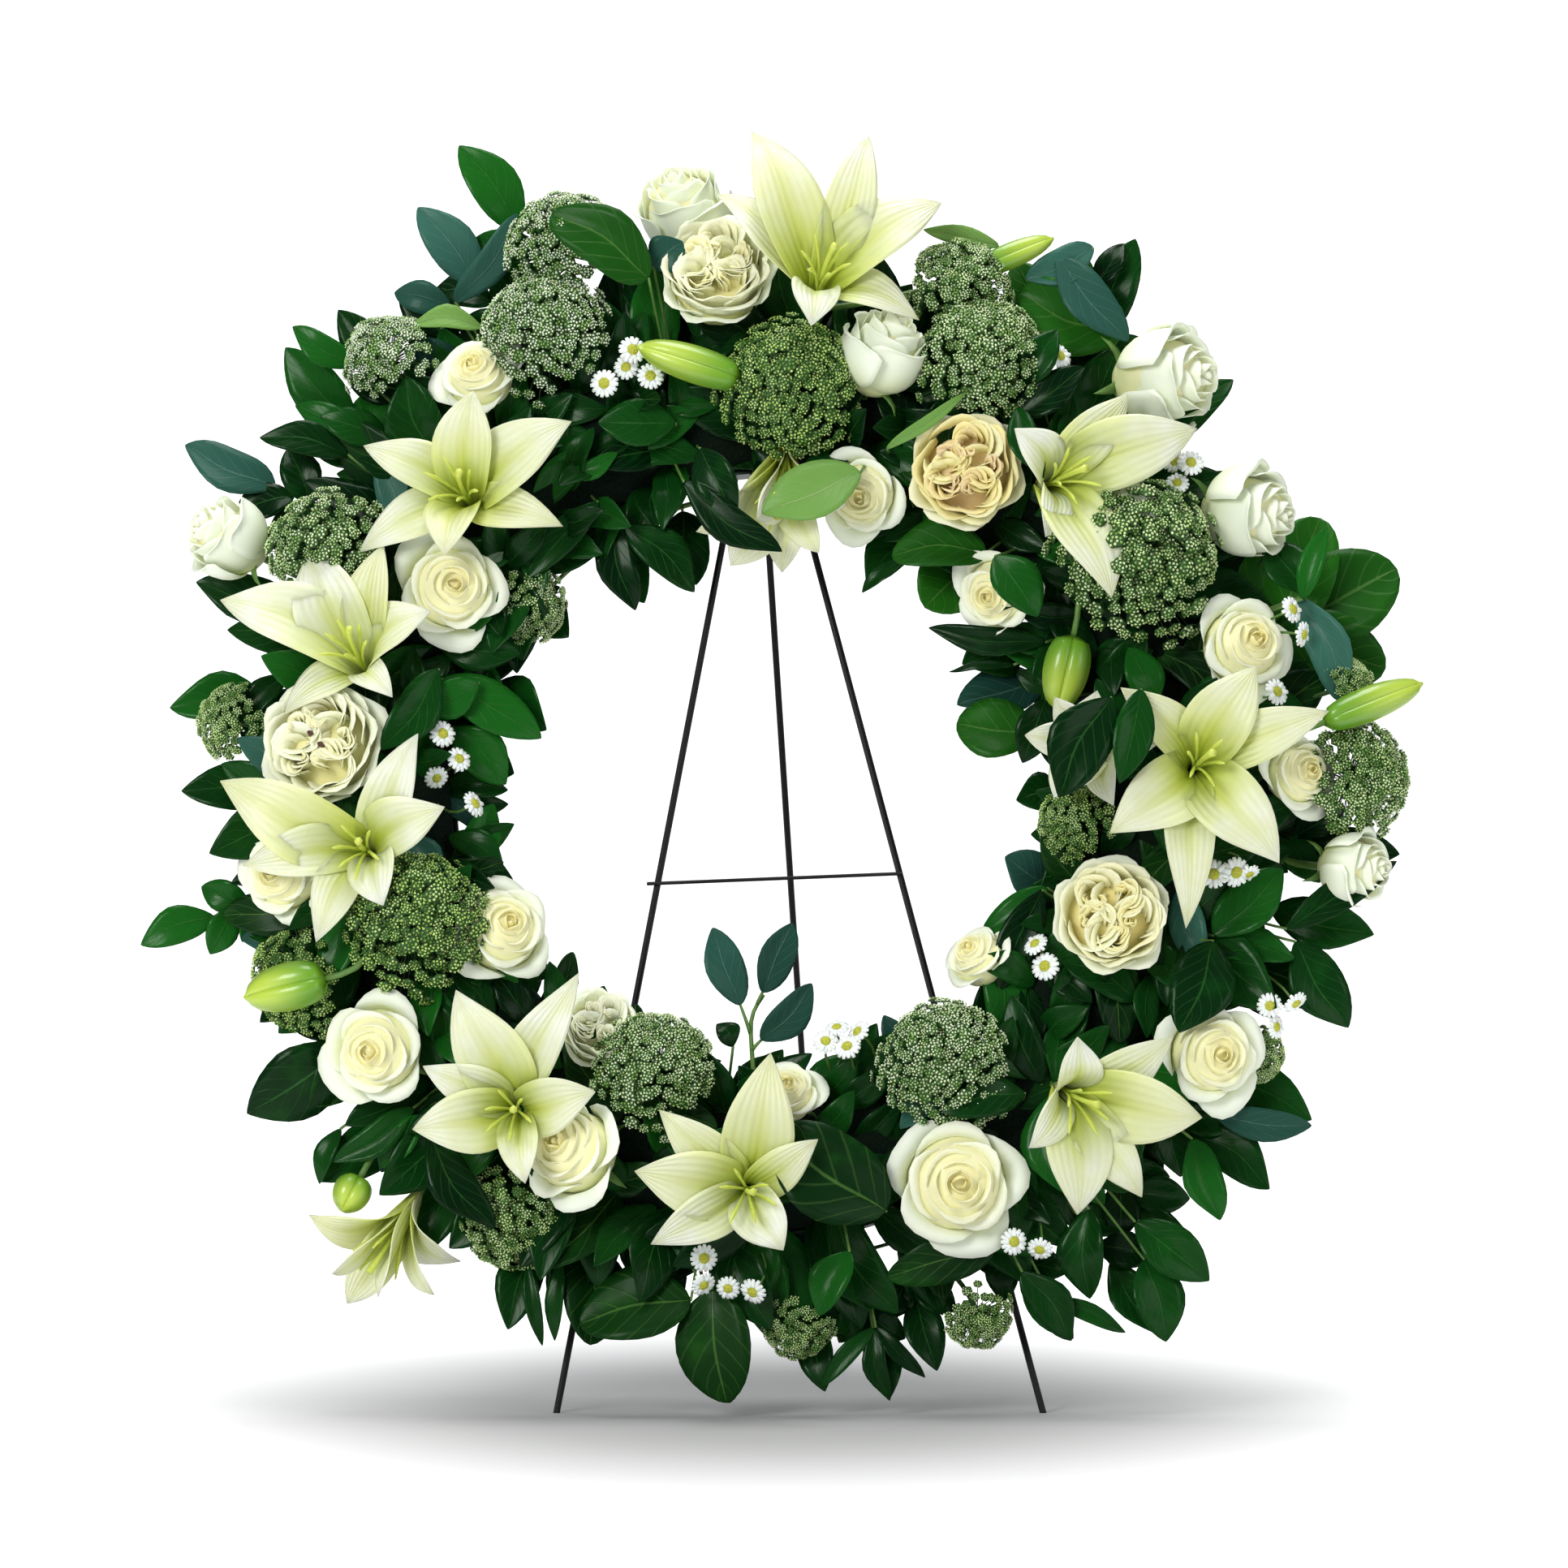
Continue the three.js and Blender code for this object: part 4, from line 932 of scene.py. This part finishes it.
def add_sepals(bm, foot, direction, width, dice):
    """Narrow green sepals below the petals."""
    across = direction.orthogonal().normalized()
    for i in range(SEPALS):
        lean = Matrix.Rotation(math.tau * (i + dice.uniform(-0.15, 0.15)) / SEPALS, 3, direction) @ across
        line = along_line(foot - direction, foot + lean * width * 0.16,
                          foot + lean * width * 0.34 + direction * 3,
                          foot + lean * width * 0.42 - direction * 7, SEPAL_ALONG)
        side = direction.cross(lean)

        def place(s, t):
            return line[round(t * SEPAL_ALONG)] + side * (s * width * 0.07 * (1 - t) ** 0.7)

        add_sheet(bm, place, 2, SEPAL_ALONG, 0.6, ROSE_STALK)


# %% Make the roses
ROSE_STEM = 2.8
dice = random.Random(23)
for number, heads in enumerate(ROSES):
    flower = new_build()
    feet = []
    for which, head in enumerate(heads):
        warmth = GARDEN_ROSES.get((number, which))
        foot, direction = add_rose(flower, head, warmth, (number, which) in HALF_SHUT, dice)
        add_sepals(flower, foot, direction, head[5], dice)
        feet.append((foot + direction * 2, direction))
    add_joined_stems(flower, feet, ROSE_STEM, ROSE_STALK)
    node = f"rose_{number + 1:02d}"
    finish_piece(flower, node + "_bloom", ROSE_FINISHES, [node] if number < ROSE_NODES else [])
print("roses made:", sum(len(heads) for heads in ROSES))

# %% [markdown]
# ## Ammi umbels
# An umbel is an umbrella of umbrellas: some hundred thin rays leave one point, and each ends in a small
# umbel of florets about two millimetres wide. A tuft of florets is made once and stamped on the end of
# every ray, with a slight turn, because there are many hundreds of them.


# %% Small shapes to stamp
def stamp(bm, template, matrix, tint=0.5):
    """Adds a copy of a small mesh at a place."""
    first = len(bm.verts)
    bm.from_mesh(template)
    bm.verts.ensure_lookup_table()
    added = bm.verts[first:]
    bmesh.ops.transform(bm, matrix=matrix, verts=added)
    layer = bm.verts.layers.float["tint"]
    for corner in added:
        corner[layer] = tint


def cone_build(sides, foot_radius, top_radius, depth, lift):
    """A build that starts with one green cone, lifted along its axis."""
    bm = new_build()
    bmesh.ops.create_cone(bm, cap_ends=True, segments=sides, radius1=foot_radius, radius2=top_radius,
                          depth=depth, matrix=Matrix.Translation((0, 0, lift)))
    for face in bm.faces:
        face.material_index = UMBEL_STALK
    return bm


UMBEL_FINISHES = [floret, umbel_stalk]
UMBEL_STALK = 1
TUFT_FLORETS = 15
TUFT_KINDS = 3
FLORET_RADIUS = 0.2
tufts = []
dice = random.Random(5)
for version in range(TUFT_KINDS):
    tuft = cone_build(6, 1.05, 0.6, 0.2, -0.06)
    for i in range(TUFT_FLORETS):
        out = math.sqrt((i + 0.4) / TUFT_FLORETS)
        angle = i * GOLDEN_TURN + version
        rise = 0.26 - 0.2 * out * out + dice.uniform(-0.06, 0.1)
        seat = Vector((out * math.cos(angle), out * math.sin(angle), rise))
        bmesh.ops.create_cone(tuft, cap_ends=True, segments=4, radius1=FLORET_RADIUS, radius2=0, depth=0.2,
                              matrix=standing(seat + Vector((0, 0, 0.5)), seat))
    tufts.append(mesh_from(tuft, f"ammi_tuft_{version}"))
ray = mesh_from(cone_build(3, 0.55, 0.3, 1, 0.5), "ammi_ray")
print("florets in a tuft:", TUFT_FLORETS)

# %% One umbel
RAYS_PER_MM = 1.25
# an umbel that leans this many degrees outwards is seen from its side, and has more rays
SIDE_LEAN = 30
SIDE_RAYS = 1.25
TUFT_SPREAD = 0.54
UMBEL_DEPTH = 0.3


def add_umbel(bm, head, dice, ragged, greenness):
    """An umbel: its rays, each with a tuft on its end, in a low dome with a lobed rim."""
    hour, reach, lift, outward, clockwise, width = head
    direction = facing(hour, outward, clockwise)
    foot = clock(hour, reach, lift) - direction * UMBEL_DEPTH * width
    matrix = standing(direction, foot)
    rays = round(RAYS_PER_MM * width * (SIDE_RAYS if outward > SIDE_LEAN else 1))
    phase = dice.uniform(0, 6)
    for i in range(rays):
        angle = i * GOLDEN_TURN
        lobed = 1 + 0.07 * math.sin(3 * angle + phase) + 0.06 * math.sin(5 * angle + 2 * phase)
        out = ((i + 0.5) / rays) ** 0.5 * lobed
        dome = 0.07 + 0.38 * (1 - min(out, 1.08) ** 2.4) + dice.uniform(-ragged, ragged)
        end = Vector((out * 0.48 * math.cos(angle), out * 0.48 * math.sin(angle), dome)) * width
        tuft_size = TUFT_SPREAD * math.sqrt(width) * dice.uniform(0.78, 1.15)
        look = standing(Vector((end.x, end.y, end.z + width * 0.08)), end)
        stamp(bm, dice.choice(tufts), matrix @ look @ Matrix.Scale(tuft_size, 4),
              greenness + dice.uniform(-0.2, 0.15))
        stamp(bm, ray, matrix @ standing(end) @ Matrix.Diagonal((1, 1, end.length, 1)))
    return foot, direction


# %% Make the umbels
UMBEL_STEM = 1.8
dice = random.Random(31)
for number, heads in enumerate(UMBELS):
    lace = new_build()
    feet = []
    for head in heads:
        ragged = 0.07 if number in RAGGED_UMBELS else 0.04
        foot, direction = add_umbel(lace, head, dice, ragged, UMBEL_GREENNESS[number])
        feet.append((foot + direction * 2, direction))
    add_joined_stems(lace, feet, UMBEL_STEM, UMBEL_STALK)
    node = f"umbel_{number + 1:02d}"
    finish_piece(lace, node + "_lace", UMBEL_FINISHES, [node] if number < UMBEL_NODES else [])
print("umbels made:", sum(len(heads) for heads in UMBELS))

# %% [markdown]
# ## Feverfew
# Small daisies fill gaps: fifteen short blunt white rays round a domed yellow-green eye. One daisy of
# unit size is made and stamped.

# %% One daisy
DAISY_RAYS = 15
DAISY_EYE = 1
DAISY_STALK = 2
daisy = new_build()
for i in range(DAISY_RAYS):
    angle = math.tau * i / DAISY_RAYS
    droop = 0.1 + 0.16 * math.sin(2 * i) ** 2

    def place(s, t):
        half = 0.085 + 0.1 * math.sin(math.pi * min(0.95, 0.2 + 0.72 * t))
        out = 0.3 + 0.7 * t
        return Vector((
            out * math.cos(angle) - s * half * math.sin(angle),
            out * math.sin(angle) + s * half * math.cos(angle),
            0.06 - droop * t * t + 0.03 * (i % 2)))

    add_sheet(daisy, place, 2, 3, 0.035)
eye = bmesh.ops.create_uvsphere(daisy, u_segments=12, v_segments=7, radius=0.46,
                                matrix=Matrix.Diagonal((1, 1, 0.65, 1)))
for face in {face for corner in eye["verts"] for face in corner.link_faces}:
    face.material_index = DAISY_EYE
daisy = mesh_from(daisy, "daisy_head")

# %% Make the feverfew
DAISY_STEM = 0.9
# degrees that each daisy is turned away from its row's lean
DAISY_STRAY = 15
dice = random.Random(41)
for number, heads in enumerate(FEVERFEW):
    sprig = new_build()
    root = in_foam(sum((clock(*head[:3]) for head in heads), Vector()) / len(heads))
    for hour, reach, lift, outward, clockwise, width in heads:
        outward += dice.uniform(-DAISY_STRAY, DAISY_STRAY)
        clockwise += dice.uniform(-DAISY_STRAY, DAISY_STRAY)
        direction = facing(hour, outward, clockwise)
        seat = clock(hour, reach, lift)
        stamp(sprig, daisy, standing(direction, seat) @ Matrix.Scale(width / 2, 4))
        add_stem(sprig, seat - direction * 2, direction, DAISY_STEM, DAISY_STALK, root)
    node = f"feverfew_{number + 1:02d}"
    finish_piece(sprig, node + "_daisies", [daisy_white, daisy_eye, stalk],
                 [node] if number < FEVERFEW_NODES else [])
print("daisies made:", sum(len(heads) for heads in FEVERFEW))

# %% [markdown]
# ## Leaves
# A leaf is a sheet folded a little along its midrib, arched along its length and wavy at its edge. The
# shape of its outline tells the kinds apart: ruscus is a long pointed oval, salal a broad one.

# %% One leaf
LEAF_ACROSS = 6
LEAF_ALONG = 12
LEAF_THICK = 0.45
LINE_STEPS = 48
LEAF_FINISHES = [ruscus, salal, blue_leaf, pale_leaf, stalk]
LEAF_STALK = 4
# kind: finish, darkest and lightest tint, and the power that sets how broad the outline is near the tip
KINDS = {
    "dark": (0, 0.0, 0.4, 0.85),
    "green": (0, 0.5, 0.9, 0.8),
    "broad": (1, 0.3, 0.7, 0.5),
    "deep": (1, 0.0, 0.12, 0.6),
    "blue": (2, 0.2, 0.9, 0.75),
    "young": (3, 0.2, 0.9, 0.8),
}


def add_leaf(bm, foot, tip, width, kind, dice, up=FRONT, arch=6.0):
    """A leaf from foot to tip: folded along its midrib, arched, and waved at its edge."""
    finish, low, high, blunt = KINDS[kind]
    run = (tip - foot).normalized()
    side = Matrix.Rotation(dice.uniform(-0.4, 0.4), 3, run) @ run.cross(up).normalized()
    normal = side.cross(run)
    rise = normal * arch
    line = along_line(foot, foot.lerp(tip, 0.33) + rise, foot.lerp(tip, 0.7) + rise, tip, LINE_STEPS)
    phase = dice.uniform(0, 6)
    fold = dice.uniform(0.1, 0.3)
    bend = dice.uniform(-0.1, 0.1) * (tip - foot).length

    def place(s, t):
        t = round(LINE_STEPS * (0.2 * t + 0.4 - 0.4 * math.cos(math.pi * t))) / LINE_STEPS
        half = width / 2 * math.sin(math.pi * min(t ** 0.92, 1)) ** blunt + 0.8 * (1 - t) + 0.15
        lift = half * (fold * abs(s) + 0.07 * s * s * math.sin(8 * t + phase + 2 * s))
        sideways = s * half + bend * math.sin(math.pi * t) ** 2
        return line[round(t * LINE_STEPS)] + side * sideways + normal * lift

    add_sheet(bm, place, LEAF_ACROSS, LEAF_ALONG, LEAF_THICK, finish, dice.uniform(low, high))


# %% Leaf sprays that the frame has
# (spray, leaf) -> kind, where it isn't plain dark ruscus
SPRAY_KINDS = {
    (0, 0): "green", (0, 1): "blue", (0, 4): "green", (1, 0): "blue", (1, 2): "green", (1, 4): "green",
    (2, 4): "deep", (3, 0): "deep", (5, 3): "broad", (6, 2): "broad", (8, 1): "broad", (8, 3): "blue",
    (8, 5): "blue", (9, 0): "blue", (9, 1): "blue", (9, 2): "blue",
}
# how long a blade is for its width
BLADE_PROPORTIONS = {"broad": 1.3, "deep": 1.5}
RUSCUS_PROPORTION = 2.1
# where small leaves stand on a long leaf stalk: the side, and the share of the way to the blade
SIDE_LEAVES = ((-1, 0.45), (1, 0.62), (-1, 0.8))
LONG_STALK = 38
# the sprays that go round the ring; the last one hangs into the hole and has no small leaves
ROUND_SPRAYS = 9
PETIOLE_RADII = [1.5, 1.4, 1.2, 1.1, 0.9]


def smooth_stem(joints):
    """Points on a smooth line through every joint of a stem."""
    line = []
    last = len(joints) - 1
    for i in range(last):
        start_pull = (joints[i + 1] - joints[max(i - 1, 0)]) / 6
        end_pull = (joints[min(i + 2, last)] - joints[i]) / 6
        run = along_line(joints[i], joints[i] + start_pull, joints[i + 1] - end_pull, joints[i + 1], 4)
        line += run if i == 0 else run[1:]
    return line


dice = random.Random(53)
for number, (stem_rows, leaves) in enumerate(SPRAYS):
    spray = new_build()
    line = smooth_stem([clock(*row) for row in stem_rows])
    add_rod(spray, line, [2.2 - 1.0 * i / len(line) for i in range(len(line))], STEM_SIDES, LEAF_STALK)
    for which, (hour, reach, tip_hour, tip_reach, tip_lift, width) in enumerate(leaves):
        leaf_foot = clock(hour, reach, SPRAY_LIFT)
        foot = min(line, key=lambda point: (point - leaf_foot).length)
        tip = clock(tip_hour, tip_reach, tip_lift)
        kind = SPRAY_KINDS.get((number, which), "dark")
        proportion = BLADE_PROPORTIONS.get(kind, RUSCUS_PROPORTION)
        blade = min(width * proportion, (tip - foot).length * 0.94)
        base = tip.lerp(foot, blade / (tip - foot).length)
        petiole = along_line(
            foot, foot.lerp(base, 0.3) + FRONT * 4, foot.lerp(base, 0.7) + FRONT * 3, base, 4)
        add_rod(spray, petiole, PETIOLE_RADII, 5, LEAF_STALK)
        add_leaf(spray, base, tip, width, kind, dice)
        if number >= ROUND_SPRAYS or (base - foot).length <= LONG_STALK:
            continue
        across = (tip - foot).cross(FRONT).normalized()
        for side, share in SIDE_LEAVES:
            side_foot = foot.lerp(base, share) + FRONT * 3
            end = side_foot + (tip - foot).normalized() * width + across * side * width * 0.9
            end.z = max(end.z - 6, 4)
            add_leaf(spray, side_foot, end, width * 0.85, "dark" if kind == "blue" else kind, dice)
    node = f"leaf_spray_{number + 1:02d}"
    finish_piece(spray, node + "_leaves", LEAF_FINISHES, [node])
print("leaf sprays made:", len(SPRAYS))

# %% [markdown]
# Then come the leaves that a visitor would notice one by one: the tall sprig at eleven o'clock, the broad
# salal leaf at half past two, the dark ones laid over the flowers. Each row is a foot and a tip, both as
# hour, reach and lift, and the leaf's width and kind.

# %% Single leaves
SINGLE_LEAVES = [
    [10.9, 393, 34, 11.2, 421, 60, 22, "blue"], [10.88, 393, 34, 10.76, 423, 30, 22, "blue"],
    [10.92, 365, 50, 10.73, 392, 56, 16, "young"], [10.8, 358, 40, 10.69, 388, 40, 18, "blue"],
    [10.51, 400, 34, 10.46, 449, 40, 21, "green"], [10.38, 363, 30, 10.29, 413, 30, 22, "green"],
    [10.4, 348, 40, 10.3, 391, 50, 25, "dark"], [10.47, 313, 44, 10.59, 366, 64, 39, "dark"],
    [10.26, 361, 44, 10.13, 415, 50, 23, "dark"], [10.32, 341, 50, 10.04, 278, 70, 27, "blue"],
    [9.41, 334, 36, 9.2, 357, 34, 19, "dark"], [8.43, 295, 66, 8.1, 334, 70, 25, "green"],
    [7.9, 335, 40, 7.9, 415, 34, 48, "dark"], [7.68, 371, 34, 7.59, 405, 30, 14, "dark"],
    [7.55, 326, 50, 7.6, 389, 48, 21, "dark"], [7.51, 326, 50, 7.48, 369, 44, 18, "green"],
    [7.43, 332, 66, 7.02, 356, 66, 30, "dark"], [9.54, 228, 60, 9.31, 155, 50, 34, "green"],
    [9.56, 203, 70, 9.33, 240, 72, 25, "green"], [9.55, 230, 84, 9.07, 258, 92, 30, "dark"],
    [9.29, 214, 50, 8.95, 177, 40, 31, "green"], [9.73, 241, 56, 9.86, 186, 60, 27, "dark"],
    [11.5, 245, 70, 11.13, 263, 74, 32, "dark"], [10.86, 243, 60, 11.16, 240, 66, 13, "green"],
    [10.97, 207, 46, 10.72, 146, 40, 27, "dark"], [11.01, 196, 50, 11.27, 136, 44, 30, "dark"],
    [11.44, 198, 100, 0.11, 142, 102, 25, "dark"], [11.59, 218, 98, 11.75, 168, 100, 29, "dark"],
    [10.93, 218, 60, 10.3, 210, 60, 21, "dark"], [0.57, 206, 96, 11.94, 168, 100, 42, "young"],
    [1.47, 209, 60, 0.96, 170, 56, 36, "broad"], [1.57, 205, 98, 2.04, 203, 100, 35, "green"],
    [1.03, 172, 44, 0.87, 141, 40, 11, "dark"], [1.14, 294, 88, 1.45, 265, 100, 20, "dark"],
    [1.11, 311, 78, 1.1, 355, 84, 24, "dark"], [1.14, 289, 74, 1.26, 345, 82, 26, "dark"],
    [1.42, 297, 60, 1.3, 323, 66, 27, "dark"], [0.67, 229, 90, 0.92, 284, 96, 8, "young"],
    [0.77, 393, 64, 0.52, 386, 66, 13, "young"], [0.96, 404, 60, 1.31, 382, 60, 31, "blue"],
    [1.04, 423, 56, 0.9, 381, 56, 25, "blue"], [1.27, 388, 46, 0.9, 372, 50, 49, "broad"],
    [1.11, 404, 34, 1.1, 443, 30, 18, "dark"], [2.39, 376, 60, 2.2, 409, 66, 16, "green"],
    [2.37, 382, 50, 2.15, 370, 40, 32, "dark"], [2.38, 376, 54, 2.76, 388, 50, 29, "blue"],
    [2.13, 206, 50, 1.54, 148, 40, 19, "dark"], [2.16, 181, 40, 1.96, 141, 36, 5, "dark"],
    [2.68, 178, 40, 2.44, 131, 34, 43, "broad"], [2.5, 191, 60, 2.92, 169, 56, 25, "dark"],
    [2.68, 228, 128, 3.29, 192, 130, 42, "dark"], [2.66, 249, 124, 3.16, 231, 128, 26, "dark"],
    [2.67, 261, 74, 2.37, 253, 76, 26, "green"], [3.75, 200, 50, 4.26, 178, 40, 22, "green"],
    [3.79, 198, 60, 4.47, 211, 52, 26, "dark"], [4.24, 185, 44, 4.66, 239, 50, 28, "green"],
    [4.64, 276, 56, 4.44, 220, 62, 29, "dark"], [4.07, 288, 60, 4.11, 232, 64, 29, "dark"],
    [4.75, 276, 84, 5.14, 258, 96, 28, "dark"], [4.64, 288, 76, 4.86, 343, 78, 36, "green"],
    [3.68, 315, 58, 3.36, 348, 60, 35, "green"], [3.56, 360, 50, 3.26, 423, 44, 22, "dark"],
    [3.73, 319, 54, 3.65, 371, 50, 24, "green"], [3.72, 316, 76, 4.12, 324, 90, 42, "dark"],
    [3.59, 368, 44, 3.79, 421, 40, 37, "dark"], [4.25, 374, 40, 4.1, 430, 34, 22, "blue"],
    [4.37, 372, 46, 4.5, 422, 44, 28, "green"], [4.7, 385, 40, 4.64, 446, 34, 33, "dark"],
    [4.75, 408, 36, 4.84, 460, 30, 35, "dark"], [4.8, 360, 44, 4.96, 409, 36, 32, "dark"],
    [5.11, 372, 40, 5.07, 427, 34, 27, "dark"], [5.06, 396, 34, 4.92, 440, 30, 12, "dark"],
    [5.65, 375, 30, 5.84, 409, 26, 12, "dark"], [5.65, 375, 30, 5.64, 424, 26, 15, "dark"],
    [5.64, 375, 30, 5.52, 414, 26, 11, "dark"], [5.17, 351, 56, 5.57, 346, 56, 30, "deep"],
    [5.69, 326, 66, 5.83, 365, 64, 26, "green"], [5.52, 307, 88, 5.99, 246, 98, 60, "deep"],
    [6.28, 356, 50, 6.63, 388, 44, 52, "deep"], [6.21, 347, 50, 6.13, 420, 40, 50, "deep"],
    [6.87, 365, 34, 6.72, 409, 30, 10, "dark"], [6.77, 353, 34, 6.69, 403, 30, 12, "dark"],
    [6.25, 186, 60, 6.39, 173, 60, 16, "dark"], [7.44, 237, 44, 7.24, 192, 50, 25, "blue"],
    [11.54, 342, 90, 11.29, 404, 92, 40, "broad"], [11.57, 351, 80, 11.69, 363, 86, 27, "blue"],
]
single_leaves = new_build()
dice = random.Random(59)
for hour, reach, lift, tip_hour, tip_reach, tip_lift, width, kind in SINGLE_LEAVES:
    start = clock(hour, reach, lift)
    tip = clock(tip_hour, tip_reach, tip_lift)
    add_leaf(single_leaves, start, tip, width, kind, dice, arch=dice.uniform(3, 8))
    root = in_foam(start)
    line = along_line(start, start - FRONT * 6, root + FRONT * 12, root, 5)
    add_rod(single_leaves, line, [1.0] * 6, 5, LEAF_STALK)
finish_piece(single_leaves, "single_leaves", LEAF_FINISHES)
print("single leaves made:", len(SINGLE_LEAVES))

# %% [markdown]
# The florist covers the foam first, with short ruscus tips pushed in all round it, so that no foam shows
# between the flowers. Some lie over its face, some stand out round its rim and some hang into the hole. A
# golden-angle walk round the ring keeps them even without being regular.

# %% Leaves that cover the foam
# how many, foot reach, foot lift, steps from foot to tip outwards and towards the viewer, longest side step
COVER = [
    [300, (222, 300), (44, 54), (-34, 44), (4, 20), 62],
    [200, (290, 303), (8, 44), (44, 84), (-14, 30), 40],
    [110, (217, 226), (12, 46), (-46, -18), (-8, 26), 46],
]
# kind: how many in a hundred
COVER_KINDS = {"dark": 78, "green": 8, "deep": 10, "blue": 4}
GOLDEN_SHARE = 0.6180339
SHORTEST_COVER = 46
dice = random.Random(67)
bunches = [new_build() for _ in range(12)]
for count, reaches, lifts, outward, forward, sideways in COVER:
    for i in range(count):
        hour = (i * 12 * GOLDEN_SHARE) % 12
        foot = clock(hour, dice.uniform(*reaches), dice.uniform(*lifts))
        step = clock(hour, dice.uniform(*outward), dice.uniform(*forward))
        step += clock(hour + 3, dice.uniform(-sideways, sideways), 0)
        step *= max(1.0, SHORTEST_COVER / step.length)
        kind = dice.choices(list(COVER_KINDS), list(COVER_KINDS.values()))[0]
        tip = foot + step
        tip.z = max(tip.z, 5)
        add_leaf(bunches[int(hour)], foot, tip, step.length * dice.uniform(0.38, 0.5), kind, dice,
                 up=(FRONT + step * 0.004).normalized(), arch=dice.uniform(3, 9))
for number, bunch in enumerate(bunches):
    finish_piece(bunch, f"foam_cover_leaves_{number + 1:02d}", LEAF_FINISHES)
print("cover leaves made:", sum(row[0] for row in COVER))

# %% [markdown]
# ## Easel, tray and foam
# These keep the frame's own shapes. The easel is drawn steel wire with black enamel, the tray is moulded
# green plastic, and the foam is an open-celled block full of water, whose dark green is taken down to near
# black as painted shade, so that foam seen between the leaves reads as their shade.

# %% Finishes of the frame's own pieces
enamel = mottled("black_enamel_on_wire", 0.5, (grain, 300, 3), "#040404", "#0C0B0B", 0.0001,
                 Specular_IOR_Level=0.2, Coat_Weight=0.1, Coat_Roughness=0.3)
bare_wire = mottled("galvanised_wire", 0.4, (grain, 400), "#8E9092", "#B9BCBE", Metallic=1.0)
moulded = mottled("moulded_green_polypropylene", 0.45, (grain, 500), "#16301F", "#1D3D28", 0.0002)
# painted shade: the foam's dark green is darkened to near black, so the gaps between leaves look shaded
dark_foam_and_painted_shade = mottled("wet_phenolic_foam_darkened_as_shade", 0.85, (pores, 600), "#050F08", "#0B1C10", 0.0006,
                   Specular_IOR_Level=0.1)

for node, material in {
    "front_leg_left": enamel, "front_leg_right": enamel, "rear_leg": enamel, "crossbar": enamel,
    "hanging_staple": bare_wire, "ring_tray": moulded, "foam_ring": dark_foam_and_painted_shade,
}.items():
    for material_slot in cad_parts[node].material_slots:
        material_slot.material = material
added = [thing for thing in bpy.data.objects if thing.type == "MESH" and thing.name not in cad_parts]
print("triangles added:", sum(len(face.vertices) - 2 for thing in added for face in thing.data.polygons))
